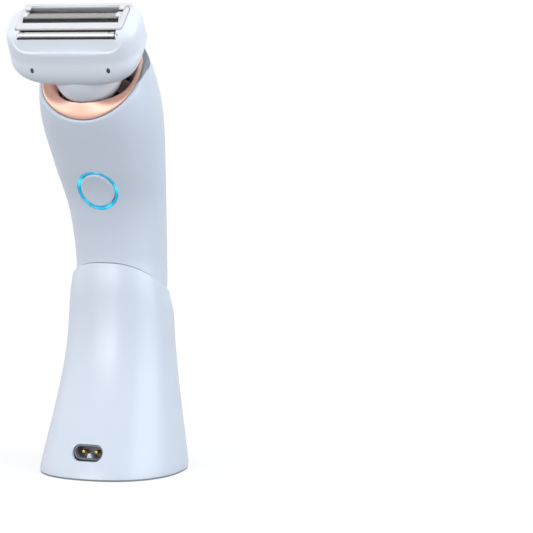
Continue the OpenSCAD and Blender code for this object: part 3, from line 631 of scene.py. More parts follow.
class NodeBench:
    """Adds nodes to a tree and links them, with less writing."""

    def __init__(self, tree: bpy.types.NodeTree) -> None:
        """Keeps the tree."""
        self.tree = tree

    def add(self, kind: str, inputs: dict[str | int, object] | None = None, **settings: object) -> bpy.types.Node:
        """Adds a node.

        Args:
            kind: The node's type.
            inputs: Values or output sockets for its inputs, by name or number.
            **settings: Its own settings.

        Returns:
            The new node.
        """
        node = self.tree.nodes.new(kind)
        for name, value in settings.items():
            setattr(node, name, value)
        self.feed(node, inputs or {})
        return node

    def feed(self, node: bpy.types.Node, inputs: dict[str | int, object]) -> None:
        """Sets a node's inputs, by name or number, to values or links them to output sockets."""
        for name, value in inputs.items():
            if isinstance(value, bpy.types.NodeSocket):
                self.tree.links.new(value, node.inputs[name])
            else:
                node.inputs[name].default_value = value

    def maths(self, operation: str, *values: object) -> bpy.types.NodeSocket:
        """Result of a maths node on values or sockets; works in shader and geometry trees."""
        return self.add("ShaderNodeMath", dict(enumerate(values)), operation=operation).outputs[0]

    def ramp(self, value: bpy.types.NodeSocket, low: object, high: object,
             to: tuple[object, object]) -> bpy.types.NodeSocket:
        """Value moved from one range to another and kept inside it."""
        node = self.add("ShaderNodeMapRange", {0: value, 1: low, 2: high, 3: to[0], 4: to[1]})
        return node.outputs[0]

    def mixed(self, share: object, first: object, second: object) -> bpy.types.NodeSocket:
        """Mix of two colours."""
        node = self.add("ShaderNodeMix", {0: share, 6: first, 7: second}, data_type="RGBA")
        return node.outputs[2]

    def blend(self, first: bpy.types.NodeSocket, second: bpy.types.NodeSocket, share: float) -> bpy.types.NodeSocket:
        """Mix of two values, with a share of the first."""
        return self.maths("ADD", self.maths("MULTIPLY", first, share), self.maths("MULTIPLY", second, 1 - share))

    def place(self, middle: Sequence[float], lean: float) -> bpy.types.NodeSocket:
        """Object coordinates about a middle in millimetres, turned about X by a lean in degrees."""
        given = self.add("ShaderNodeTexCoord").outputs["Object"]
        node = self.add("ShaderNodeMapping", {"Vector": given, "Location": tuple(c * MM for c in middle),
                                              "Rotation": (math.radians(lean), 0.0, 0.0)}, vector_type="TEXTURE")
        return node.outputs[0]


def srgb(red: float, green: float, blue: float) -> tuple[float, float, float, float]:
    """Colour as a screen shows it, 0 to 255, as a linear colour."""
    made = [c / 255 / 12.92 if c / 255 <= 0.04045 else ((c / 255 + 0.055) / 1.055) ** 2.4
            for c in (red, green, blue)]
    return (made[0], made[1], made[2], 1.0)


SURFACE_INPUTS = (("Vector", "Vector"), ("Tint", "Color"), ("Shade", "Color"), ("Grain Scale", "Float"),
                  ("Cloud Scale", "Float"), ("Rough Low", "Float"), ("Rough High", "Float"))
SURFACE_OUTPUTS = (("Color", "Color"), ("Roughness", "Float"), ("Height", "Float"))


@dataclass(frozen=True)
class Surface:
    """Recipe of a shared shader group: fine grain or lines, clouds of colour, and haze in the gloss."""

    name: str
    cloud_detail: float
    grain_detail: float
    grain_rough: float
    cloud_share: float
    pit_share: float = 0.0
    colour_span: tuple[float, float] = (0.35, 0.65)
    gloss_span: tuple[float, float] = (0.3, 0.7)

    def tree(self) -> bpy.types.NodeTree:
        """Makes the group, or finds it where it is made already.

        Returns:
            The group, which puts out Color, Roughness and Height.
        """
        known = bpy.data.node_groups.get(self.name)
        if known:
            return known
        tree = bpy.data.node_groups.new(self.name, "ShaderNodeTree")
        for way, sockets in (("INPUT", SURFACE_INPUTS), ("OUTPUT", SURFACE_OUTPUTS)):
            for label, kind in sockets:
                tree.interface.new_socket(label, in_out=way, socket_type="NodeSocket" + kind)
        bench = NodeBench(tree)
        given = bench.add("NodeGroupInput").outputs
        vector, scale = given["Vector"], given["Grain Scale"]
        cloud = bench.add("ShaderNodeTexNoise", {"Vector": vector, "Scale": given["Cloud Scale"],
                                                 "Detail": self.cloud_detail}).outputs[0]
        grain = bench.add("ShaderNodeTexNoise", {"Vector": vector, "Scale": scale, "Detail": self.grain_detail,
                                                 "Roughness": self.grain_rough}).outputs[0]
        share = bench.blend(cloud, grain, self.cloud_share)
        colour = bench.mixed(bench.ramp(share, *self.colour_span, (0.0, 1.0)), given["Tint"], given["Shade"])
        gloss = bench.ramp(share, *self.gloss_span, (given["Rough Low"], given["Rough High"]))
        height = grain
        if self.pit_share:
            pits = bench.add("ShaderNodeTexVoronoi", {"Vector": vector, "Scale": scale})
            height = bench.blend(pits.outputs["Distance"], grain, self.pit_share)
        bench.add("NodeGroupOutput", {"Color": colour, "Roughness": gloss, "Height": height})
        return tree


MOULDED = Surface("moulded_skin", 3.0, 2.0, 0.7, 0.8, 0.4)
BRUSHED = Surface("brushed_metal", 2.0, 4.0, 0.65, 0.35)


# Finishes


@dataclass(frozen=True)
class Finish:
    """Finish of a moulded or metal surface."""

    slot: Slot
    tint: Colour
    shade: Colour
    grain: float
    cloud: float
    rough: tuple[float, float]
    bump: float
    metal: bool = False
    coat: float = 0.0
    coat_rough: float = 0.2
    stretch: Triple = (1.0, 1.0, 1.0)
    specular: float = 0.5
    bump_depth: float = 0.02
    label: str = "finish"

    def make(self) -> bpy.types.Material:
        """Builds the material.

        Returns:
            The material, named after its slot and label.
        """
        material = bpy.data.materials.new(f"{self.slot.value}_{self.label}")
        material.use_nodes = True
        tree = material.node_tree
        bench = NodeBench(tree)
        shader = tree.nodes["Principled BSDF"]
        place = bench.add("ShaderNodeTexCoord").outputs["Object"]
        mapped = bench.add("ShaderNodeMapping", {"Vector": place, "Scale": self.stretch})
        skin = bench.add("ShaderNodeGroup", {
            "Vector": mapped.outputs[0], "Tint": srgb(*self.tint), "Shade": srgb(*self.shade),
            "Grain Scale": self.grain, "Cloud Scale": self.cloud, "Rough Low": self.rough[0],
            "Rough High": self.rough[1]}, node_tree=(BRUSHED if self.metal else MOULDED).tree())
        bump = bench.add("ShaderNodeBump", {"Strength": self.bump, "Distance": self.bump_depth * MM,
                                            "Height": skin.outputs["Height"]})
        bench.feed(shader, {
            "Base Color": skin.outputs["Color"], "Roughness": skin.outputs["Roughness"], "Normal": bump.outputs[0],
            "Metallic": float(self.metal), "Specular IOR Level": self.specular, "Coat Weight": self.coat,
            "Coat Roughness": self.coat_rough})
        self.extra(bench, shader, skin)
        return material

    def extra(self, bench: NodeBench, shader: bpy.types.Node, skin: bpy.types.Node) -> None:
        """Adds what a special finish has on top; nothing here.

        Args:
            bench: Bench on the material's tree.
            shader: The material's shader.
            skin: Its surface group.
        """


@dataclass(frozen=True)
class PlacedFinish(Finish):
    """Finish that changes about a place on the object, given in millimetres with its lean in degrees."""

    middle: Triple = (0.0, 0.0, 0.0)
    lean: float = 0.0


@dataclass(frozen=True)
class GlowFinish(PlacedFinish):
    """Lit light guide: brighter spots where the lamps sit behind it."""

    lamps: int = 5
    lamp_turn: float = 0.9
    fade: float = 0.5
    fade_waves: float = 2.0
    fade_turn: float = 2.2
    spot: tuple[float, float] = (0.2, 1.35)
    bright: Colour = (76, 242, 244)
    strength: float = 0.75

    def extra(self, bench: NodeBench, shader: bpy.types.Node, skin: bpy.types.Node) -> None:
        """Feeds the emission with a colour that brightens at each lamp; arguments as in Finish."""
        parts = bench.add("ShaderNodeSeparateXYZ", {0: bench.place(self.middle, self.lean)}).outputs
        angle = bench.maths("ARCTAN2", parts["Z"], parts["X"])
        wave = bench.maths("SINE", bench.maths("MULTIPLY_ADD", angle, float(self.lamps), self.lamp_turn))
        slow = bench.maths("SINE", bench.maths("MULTIPLY_ADD", angle, self.fade_waves, self.fade_turn))
        both = bench.maths("ADD", wave, bench.maths("MULTIPLY", slow, self.fade))
        colour = bench.mixed(bench.ramp(both, *self.spot, (0.0, 1.0)), srgb(*self.tint), srgb(*self.bright))
        bench.feed(shader, {"Emission Color": colour, "Emission Strength": self.strength})


@dataclass(frozen=True)
class FoilWithPaintedReflection(PlacedFinish):
    """Shaving foil with a painted reflection: its colour darkens from the bright crest down its front flank, as if
    mirroring dark surroundings.
    """

    # Span in millimetres over which the painted dark reflection fades in, and its colour.
    painted_reflection_span: tuple[float, float] = (-1.4, -0.6)
    deep: Colour = (44, 44, 45)

    def extra(self, bench: NodeBench, shader: bpy.types.Node, skin: bpy.types.Node) -> None:
        """Paints the dark reflection into the metal's colour, from the crest down to the flank; arguments as in
        Finish.
        """
        back = bench.add("ShaderNodeSeparateXYZ", {0: bench.place(self.middle, self.lean)}).outputs["Y"]
        share = bench.ramp(back, self.painted_reflection_span[0] * MM, self.painted_reflection_span[1] * MM, (0.0, 1.0))
        colour = bench.mixed(share, srgb(*self.deep), skin.outputs["Color"])
        bench.feed(shader, {"Base Color": colour})


@dataclass(frozen=True)
class BoardFinish(Finish):
    """Circuit board: solder mask over copper tracks."""

    track: Colour = (62, 128, 86)
    track_scale: float = 420.0
    track_w: float = 0.06

    def extra(self, bench: NodeBench, shader: bpy.types.Node, skin: bpy.types.Node) -> None:
        """Draws the tracks under the mask; arguments as in Finish."""
        place = bench.add("ShaderNodeTexCoord").outputs["Object"]
        tracks = bench.add("ShaderNodeTexBrick", {"Vector": place, "Scale": self.track_scale,
                                                  "Mortar Size": self.track_w})
        colour = bench.mixed(tracks.outputs["Fac"], skin.outputs["Color"], srgb(*self.track))
        bench.feed(shader, {"Base Color": colour})


NECK_LEAN = 26.0
HEAD_LEAN = 45.0
PIVOT = (0.0, -13.0, 134.1)
NECK = Matrix.Translation(PIVOT) @ Matrix.Rotation(math.radians(NECK_LEAN), 4, "X")
HEAD = Matrix.Translation(PIVOT) @ Matrix.Rotation(math.radians(HEAD_LEAN), 4, "X")
ALONG_X = Matrix.Rotation(math.pi / 2, 4, "Y")
FRONT_ON = Matrix.Rotation(math.pi / 2, 4, "X")
END_ON = Matrix.Rotation(math.pi / 2, 4, "Z") @ FRONT_ON
BUTTON_DOWN = 26.0
BUTTON_FRONT = 15.5
BUTTON_PLACE = tuple(NECK @ Vector((0.0, -BUTTON_FRONT, -BUTTON_DOWN)))
FOIL_BACK = 5.3
FOIL_AXIS = 36.1
FOIL_PLACE = tuple(HEAD @ Vector((0.0, FOIL_BACK, FOIL_AXIS)))

FINISHES: tuple[Finish, ...] = (
    Finish(Slot.SHELL, (206, 214, 226), (203, 211, 224), 5200, 26, (0.32, 0.4), 0.25, coat=0.15, coat_rough=0.28),
    Finish(Slot.HEAD, (227, 233, 242), (223, 230, 240), 5200, 26, (0.32, 0.4), 0.25, coat=0.15, coat_rough=0.28),
    Finish(Slot.COPPER, (236, 192, 174), (231, 185, 166), 700, 40, (0.5, 0.56), 0.1, metal=True,
           stretch=(0.12, 1.0, 1.0)),
    Finish(Slot.DARK, (56, 47, 45), (44, 38, 37), 3800, 60, (0.45, 0.6), 0.4),
    Finish(Slot.WHITE, (223, 223, 226), (218, 219, 222), 5200, 40, (0.24, 0.32), 0.15, coat=0.2),
    FoilWithPaintedReflection(Slot.FOIL, (226, 226, 224), (206, 206, 205), 1800, 90, (0.24, 0.34), 0.25, metal=True,
               stretch=(0.1, 1.0, 1.0), middle=FOIL_PLACE, lean=HEAD_LEAN),
    Finish(Slot.BLADE, (224, 225, 227), (202, 204, 207), 2400, 60, (0.18, 0.3), 0.3, metal=True,
           stretch=(0.08, 1.0, 1.0)),
    Finish(Slot.BRASS, (214, 178, 98), (190, 152, 78), 2200, 80, (0.2, 0.32), 0.2, metal=True),
    BoardFinish(Slot.BOARD, (32, 92, 58), (26, 78, 50), 3000, 70, (0.3, 0.45), 0.2),
    GlowFinish(Slot.GLOW, (0, 150, 188), (0, 134, 172), 2600, 120, (0.2, 0.3), 0.1, coat=0.3,
               middle=BUTTON_PLACE, lean=NECK_LEAN),
    Finish(Slot.PEARL, (206, 214, 226), (198, 207, 222), 5200, 70, (0.28, 0.38), 0.2, coat=0.3, coat_rough=0.18),
    Finish(Slot.RUBBER, (140, 146, 151), (128, 134, 139), 3000, 90, (0.7, 0.85), 0.5, specular=0.3),
    Finish(Slot.CELL, (42, 92, 150), (34, 80, 138), 2600, 90, (0.25, 0.4), 0.15, coat=0.3),
)


# Lighter copy of the dark plastic for the bowl and the collar's lining: painted light, which brightens them where
# they lie in shade inside the neck.
BOWL_PAINTED_LIGHT = Finish(Slot.DARK, (158, 132, 124), (144, 120, 113), 3800, 60, (0.5, 0.65), 0.3, label="bowl")
INLET_LOOK = Finish(Slot.DARK, (124, 126, 128), (114, 116, 119), 3800, 60, (0.4, 0.55), 0.3, label="inlet")


class Workshop:
    """Makes the finishes once, and fixes pieces to bodies."""

    def __init__(self) -> None:
        """Builds every finish."""
        self.materials: dict[Slot, bpy.types.Material] = {f.slot: f.make() for f in FINISHES}
        self.looks: dict[Finish, bpy.types.Material] = {f: f.make() for f in (BOWL_PAINTED_LIGHT, INLET_LOOK)}

    def fix(self, piece: bpy.types.Object, body: str, slot: Slot, *nodes: str,
            look: Finish | None = None) -> None:
        """Gives a piece its finish, its body and the nodes that it stands for.

        Args:
            piece: The piece.
            body: Body that it rides on.
            slot: Its finish.
            *nodes: Nodes that it stands for.
            look: Special finish in place of the slot's own.
        """
        piece.data.materials.clear()
        piece.data.materials.append(self.looks[look] if look else self.materials[slot])
        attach(piece, body)
        if nodes:
            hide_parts(*nodes)
        LOG.info("%s rides on %s, finish %s", piece.name, body, slot.value)

    def dress(self, nodes: dict[str, Slot]) -> None:
        """Gives carried-over nodes their finishes."""
        for name, slot in nodes.items():
            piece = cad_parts[name]
            piece.data.materials.clear()
            piece.data.materials.append(self.materials[slot])
            LOG.info("%s keeps its solid, finish %s", name, slot.value)


# Geometry node trees


class NodeMaker:
    """A geometry node tree with named inputs, run once to make a plain mesh."""

    def __init__(self, name: str, sizes: dict[str, float]) -> None:
        """Starts the tree.

        Args:
            name: The tree's name.
            sizes: Named inputs in metres or plain numbers, with their values.
        """
        self.name = name
        self.tree = bpy.data.node_groups.new(name, "GeometryNodeTree")
        self.tree.interface.new_socket("Geometry", in_out="OUTPUT", socket_type="NodeSocketGeometry")
        self.values: dict[str, object] = {}
        for label, value in sizes.items():
            kind = "NodeSocketInt" if isinstance(value, int) else "NodeSocketFloat"
            socket = self.tree.interface.new_socket(label, in_out="INPUT", socket_type=kind)
            self.values[socket.identifier] = value
        socket = self.tree.interface.new_socket("Finish", in_out="INPUT", socket_type="NodeSocketMaterial")
        self.finish_id = socket.identifier
        self.bench = NodeBench(self.tree)
        self.given = self.bench.add("NodeGroupInput")

    def size(self, label: str) -> bpy.types.NodeSocket:
        """The socket of a named input."""
        return self.given.outputs[label]

    def place(self) -> Sequence[bpy.types.NodeSocket]:
        """Sockets of the x, y and z of a point's place."""
        given = self.bench.add("GeometryNodeInputPosition").outputs[0]
        return self.bench.add("ShaderNodeSeparateXYZ", {0: given}).outputs

    def together(self, *shapes: bpy.types.NodeSocket) -> bpy.types.NodeSocket:
        """Shapes put together."""
        node = self.bench.add("GeometryNodeJoinGeometry")
        for shape in shapes:
            self.tree.links.new(shape, node.inputs[0])
        return node.outputs[0]

    def vector(self, x: object, y: object, z: object) -> bpy.types.NodeSocket:
        """A vector from three values or sockets."""
        return self.bench.add("ShaderNodeCombineXYZ", {0: x, 1: y, 2: z}).outputs[0]

    def run(self, shape: bpy.types.NodeSocket, material: bpy.types.Material, matrix: Matrix) -> bpy.types.Object:
        """Ends the tree and turns its result into a plain piece.

        Args:
            shape: The finished geometry.
            material: Its finish.
            matrix: Frame that it is made in, in millimetres.

        Returns:
            The piece, with its place in its mesh.
        """
        real = self.bench.add("GeometryNodeRealizeInstances", {0: shape})
        dressed = self.bench.add("GeometryNodeSetMaterial", {0: real.outputs[0], 2: self.size("Finish")})
        self.bench.add("NodeGroupOutput", {0: dressed.outputs[0]})
        holder = linked(self.name + "_holder", bpy.data.meshes.new(self.name))
        step = holder.modifiers.new("make", "NODES")
        step.node_group = self.tree
        for key, value in self.values.items():
            step[key] = value
        step[self.finish_id] = material
        mesh = baked(holder)
        bpy.data.objects.remove(holder)
        mesh.transform(Matrix.Translation(matrix.translation * MM) @ matrix.to_3x3().to_4x4())
        smooth(mesh, NODE_SHARP)
        return linked(self.name, mesh)


def perforated_foil(name: str, length: float, radius: float, thick: float, pitch: float, hole: float,
                    material: bpy.types.Material, matrix: Matrix) -> bpy.types.Object:
    """Arched foil with six-sided holes in offset rows.

    Args:
        name: The piece's name.
        length: Length across the head.
        radius: Radius of the arch outside.
        thick: Thickness of the foil.
        pitch: Distance between holes in a row.
        hole: Share of a cell that its hole takes.
        material: Its finish.
        matrix: Frame of the arch's axis, in millimetres.

    Returns:
        The foil as a plain mesh.
    """
    row = pitch * math.sqrt(3) / 2
    columns, rows = int(length / pitch), int(math.pi * radius / row)
    rows -= 1 - rows % 2
    maker = NodeMaker(name, {"Pitch": pitch * MM, "Row": row * MM, "Columns": columns, "Rows": rows,
                             "Hole": hole, "Radius": radius * MM, "Thickness": thick * MM})
    bench, size = maker.bench, maker.size
    span_x = bench.maths("MULTIPLY", size("Pitch"), bench.maths("SUBTRACT", size("Columns"), 1.0))
    span_y = bench.maths("MULTIPLY", size("Row"), bench.maths("SUBTRACT", size("Rows"), 1.0))
    grid = bench.add("GeometryNodeMeshGrid", {0: span_x, 1: span_y, 2: size("Columns"), 3: size("Rows")})
    line = bench.maths("ROUND", bench.maths("DIVIDE", maker.place()[1], size("Row")))
    odd = bench.maths("ABSOLUTE", bench.maths("MODULO", line, 2.0))
    shift = bench.maths("MULTIPLY", bench.maths("SUBTRACT", bench.maths("MULTIPLY", odd, 0.5), 0.25), size("Pitch"))
    shifted = bench.add("GeometryNodeSetPosition", {0: grid.outputs[0], 3: maker.vector(shift, 0.0, 0.0)})
    cell_r = bench.maths("DIVIDE", size("Pitch"), math.sqrt(3))
    cell = bench.add("GeometryNodeMeshCircle", {0: 6, 1: cell_r}, fill_type="NGON")
    raised = bench.add("GeometryNodeExtrudeMesh", {0: cell.outputs[0], 3: 0.0}, mode="FACES")
    drawn = bench.add("GeometryNodeScaleElements", {0: raised.outputs[0], 1: raised.outputs[1], 2: size("Hole")})
    ring = bench.add("GeometryNodeDeleteGeometry", {0: drawn.outputs[0], 1: raised.outputs[1]}, domain="FACE")
    spread = bench.add("GeometryNodeInstanceOnPoints", {
        0: shifted.outputs[0], 2: ring.outputs[0], 5: (0.0, 0.0, math.pi / 6)})
    real = bench.add("GeometryNodeRealizeInstances", {0: spread.outputs[0]})
    whole = bench.add("GeometryNodeMergeByDistance", {0: real.outputs[0], 2: CELL_MERGE})
    flat = maker.place()
    angle = bench.maths("DIVIDE", flat[1], size("Radius"))
    back, up = (bench.maths("MULTIPLY", bench.maths(way, angle), size("Radius")) for way in ("SINE", "COSINE"))
    arched = bench.add("GeometryNodeSetPosition", {0: whole.outputs[0], 2: maker.vector(flat[0], back, up)})
    under = bench.maths("MULTIPLY", size("Thickness"), -1.0)
    lowered = bench.add("GeometryNodeExtrudeMesh", {0: arched.outputs[0], 3: under, 4: False}, mode="FACES")
    turned = bench.add("GeometryNodeFlipFaces", {0: lowered.outputs[0]})
    both = maker.together(turned.outputs[0], arched.outputs[0])
    closed = bench.add("GeometryNodeMergeByDistance", {0: both, 2: MERGE})
    return maker.run(closed.outputs[0], material, matrix)


def toothed_blade(name: str, length: float, height: float, thick: float, pitch: float, tooth: float, depth: float,
                  material: bpy.types.Material, matrix: Matrix) -> bpy.types.Object:
    """Straight blade with tapered teeth along its top.

    Args:
        name: The piece's name.
        length: Length across the head.
        height: Height with its teeth.
        thick: Thickness.
        pitch: Distance between teeth.
        tooth: Width of a tooth at its root.
        depth: Height of a tooth.
        material: Its finish.
        matrix: Frame at the middle of its foot, in millimetres.

    Returns:
        The blade as a plain mesh.
    """
    count = int(length / pitch)
    maker = NodeMaker(name, {"Length": length * MM, "Height": height * MM, "Thickness": thick * MM,
                             "Pitch": pitch * MM, "Tooth": tooth * MM, "Depth": depth * MM, "Count": count,
                             "Tip": TOOTH_TIP})
    bench, size = maker.bench, maker.size
    body_h = bench.maths("SUBTRACT", size("Height"), size("Depth"))
    bar = bench.add("GeometryNodeMeshCube", {0: maker.vector(size("Length"), size("Thickness"), body_h),
                                             1: 2, 2: 2, 3: 2})
    bar_up = bench.add("GeometryNodeSetPosition", {
        0: bar.outputs[0], 3: maker.vector(0.0, 0.0, bench.maths("MULTIPLY", body_h, 0.5))})
    blank = bench.add("GeometryNodeMeshCube", {0: maker.vector(size("Tooth"), size("Thickness"), size("Depth")),
                                               1: 2, 2: 2, 3: 4})
    x, y, z = maker.place()
    narrow = bench.ramp(z, 0.0, bench.maths("MULTIPLY", size("Depth"), 0.5), (1.0, size("Tip")))
    thin = bench.ramp(narrow, TOOTH_TIP, 1.0, (TOOTH_THIN, 1.0))
    tapered = bench.add("GeometryNodeSetPosition", {0: blank.outputs[0], 2: maker.vector(
        bench.maths("MULTIPLY", x, narrow), bench.maths("MULTIPLY", y, thin), z)})
    start = bench.maths("MULTIPLY", size("Pitch"), bench.maths(
        "MULTIPLY", bench.maths("SUBTRACT", size("Count"), 1.0), -0.5))
    tooth_z = bench.maths("ADD", body_h, bench.maths("MULTIPLY", size("Depth"), TOOTH_SINK))
    line = bench.add("GeometryNodeMeshLine", {"Count": size("Count"),
                                              "Start Location": maker.vector(start, 0.0, tooth_z),
                                              "Offset": maker.vector(size("Pitch"), 0.0, 0.0)})
    spread = bench.add("GeometryNodeInstanceOnPoints", {0: line.outputs[0], 2: tapered.outputs[0]})
    return maker.run(maker.together(spread.outputs[0], bar_up.outputs[0]), material, matrix)


# Sub-assemblies


@dataclass
class Stand:
    """Charging stand: flared shell, socket, foot and inlet."""

    shop: Workshop
    form: StandForm = field(default_factory=StandForm)
    columns: int = 192
    rows: int = 72
    shell_square: float = 2.4
    row_crowding: float = 1.6
    rim_arch: float = 1.2
    # Thin grey ring inside the rim, which paints the shade in the gap round the handle.
    gap_shade: tuple[float, float] = (0.12, 0.3)
    gap_shade_span: tuple[float, float] = (-1.0, 0.62)
    inlet_z: float = 9.6
    inlet_half_w: float = 5.2
    inlet_half_h: float = 2.2
    inlet_wall: float = 0.7
    inlet_room: float = 0.1
    inlet_cut: tuple[float, float] = (-8.0, 16.0)
    inlet_front: float = -23.31
    inlet_depth: float = 8.4
    inlet_back: float = 1.5
    inlet_floor: float = 4.7
    inlet_lip: Profile = ((0.0, 0.25), (0.2, 0.05))
    inlet_mouth: Profile = ((-0.15, 0.0), (0.0, 0.2))
    inlet_draft: float = 0.1
    key_outline: Profile = ((-0.55, 0.75), (-0.3, 0.5), (0.3, 0.5), (0.55, 0.75), (1.05, 2.15), (-1.05, 2.15))
    key_front: float = 0.5
    key_gap: float = 0.02
    key_edge: float = 0.12
    pin_d: float = 1.4
    pin_len: float = 6.1
    pin_edge: float = 0.35
    pin_gap: float = 5.0
    pin_reach: float = 3.6
    pad_inset: float = 0.5
    pad_edge: float = 0.35
    pad_under: Profile = ((9.0, 0.5), (8.4, 0.5), (8.0, 0.0), (3.4, 0.0), (3.1, 0.45), (2.5, 0.45), (2.2, 0.0))
    pad_roll: tuple[float, ...] = (0.0, 0.05, 0.12, 0.22, 0.35)
    pad_top: Profile = ((0.0, -0.05), (0.1, 0.0), (4.0, 0.0))
    cup_floor: float = 21.7
    cup_wall: float = 1.4
    cup_step: float = 1.0
    cup_columns: int = 96
    cup_rows: int = 25
    cup_floor_rings: tuple[float, ...] = (0.985, 0.5)

    def inlet_frame(self, depth: float = 0.0) -> Matrix:
        """Frame at the inlet's middle, with Z pointing into the stand, at a depth behind its front."""
        place = Matrix.Translation((0.0, self.inlet_front + depth, self.inlet_z))
        return place @ Matrix.Rotation(-math.pi / 2, 4, "X")

    def build_shell(self) -> None:
        """Builds the flared shell, with its rolled rim and the inlet's cut, and a thin grey ring inside its rim that
        paints the shade of the gap round the handle.
        """
        angle = even_angles(self.columns, self.shell_square)[None, :]
        share = 1 - (1 - np.linspace(0, 1, self.rows)[:, None]) ** self.row_crowding
        outer = self.form.outer(share + 0 * angle, angle + 0 * share)
        inner = self.form.inner(share + 0 * angle, angle + 0 * share)
        rise = np.array([0.0, 0.0, self.form.edge * self.rim_arch])
        top = [outer[-1] + (inner[-1] - outer[-1]) * (1 - math.cos(t)) / 2 + rise * math.sin(t)
               for t in np.linspace(0, math.pi, 9)[1:-1]]
        shell = loft("stand_shell_skin", [*outer, *top, *inner[::-1]], looped=True)
        room = self.inlet_wall + self.inlet_room
        hole = stadium(self.inlet_half_w + room, self.inlet_half_h + room)
        carve(shell, [prism("inlet_hole", hole, *self.inlet_cut, self.inlet_frame())])
        self.shop.fix(shell, "stand", Slot.SHELL, "stand_shell")
        # Painted shade: a grey ring just inside the rim stands in for the shade of the gap between stand and handle.
        rim = self.form.height(np.ones(self.columns), angle[0])
        (low, high), (near, far) = self.gap_shade_span, self.gap_shade
        corners = [self.form.handle.plain(rim + up, angle[0], -away)
                   for up, away in ((low, near), (high, near), (high, far), (low, far))]
        self.shop.fix(loft("rim_gap_shade", corners, looped=True), "stand", Slot.RUBBER)

    def build_cup(self) -> None:
        """Builds the socket that takes the tail."""
        handle = self.form.handle
        angle = even_angles(self.cup_columns, handle.square)
        top = self.form.height(np.array(self.form.collar[0]), angle) - self.cup_step

        def ring(share: float, inset: float) -> Array:
            """Ring at a share of the socket's height, set in from the tail's skin."""
            z = self.cup_floor + (top - self.cup_floor) * share
            points = handle.plain(np.maximum(z, handle.tail_z), angle, inset)
            points[:, 2] = z
            return points

        gap, wall = self.form.gap, self.form.gap + self.cup_wall
        shares = np.linspace(0, 1, self.cup_rows)
        low = ring(0, -wall)
        low[:, 2] = self.cup_floor - self.cup_wall
        centre = np.array([0.0, handle.sections.rows[0][1], self.cup_floor])
        floor = [centre + (ring(0, -gap) - centre) * s for s in self.cup_floor_rings]
        rings = [low, *[ring(s, -wall) for s in shares], *[ring(s, -gap) for s in shares[::-1]], *floor]
        self.shop.fix(loft("socket_cup_liner", rings), "stand", Slot.SHELL, "socket_cup")

    def build_foot(self) -> None:
        """Builds the rubber pad under the foot, with a groove round its underside."""
        square = self.form.square[0]
        angle = even_angles(self.columns, square)
        half_w, half_d = (half - self.pad_inset for half in self.form.sections.rows[0][2:])
        profile = [*self.pad_under, *((float(rolled(np.array(z), self.pad_edge)), z) for z in self.pad_roll),
                   *((inset, self.form.low + up) for inset, up in self.pad_top)]
        rings = [level(np.stack(oval(half_w - inset, half_d - inset, square, angle), -1), z) for inset, z in profile]
        self.shop.fix(loft("foot_pad_rubber", rings), "stand", Slot.RUBBER, "foot_pad")

    def build_inlet(self) -> None:
        """Builds the inlet's body, its key and its two pins."""
        in_w, in_h, wall = self.inlet_half_w, self.inlet_half_h, self.inlet_wall
        deep, back = self.inlet_floor, self.inlet_depth + self.inlet_back
        walls = [(in_w + wall - inset, in_h + wall - inset, d) for inset, d in ((0.0, back), *self.inlet_lip)]
        walls += [(in_w - inset, in_h - inset, d) for inset, d in (*self.inlet_mouth, (self.inlet_draft, deep))]
        body = loft("inlet_body", [level(stadium(w, h), d) for w, h, d in walls], self.inlet_frame())
        self.shop.fix(body, "stand", Slot.DARK, "inlet_socket", look=INLET_LOOK)
        rib = prism("inlet_key", np.array(self.key_outline), self.key_front, deep - self.key_gap, self.inlet_frame(),
                    edge=self.key_edge)
        self.shop.fix(rib, "stand", Slot.SHELL)
        r = self.pin_d / 2
        profile = rounded([(NEAR_AXIS, 0.0), (r, 0.0), (r, self.pin_len), (NEAR_AXIS, self.pin_len)], self.pin_edge)
        front = self.inlet_frame(deep - self.pin_reach)
        pins = [lathe("pin", profile, front @ Matrix.Translation((side * self.pin_gap / 2, 0, 0)), 32)
                for side in SIDES]
        self.shop.fix(joined("inlet_pin_pair", pins), "stand", Slot.BRASS, "inlet_pins")

    def build(self) -> None:
        """Builds and dresses the whole stand."""
        self.build_shell()
        self.build_cup()
        self.build_foot()
        self.build_inlet()
        self.shop.dress({"base_plate": Slot.SHELL, "base_screws": Slot.BLADE, "charger_board": Slot.BOARD,
                         "transformer": Slot.DARK, "dock_contacts": Slot.BRASS})


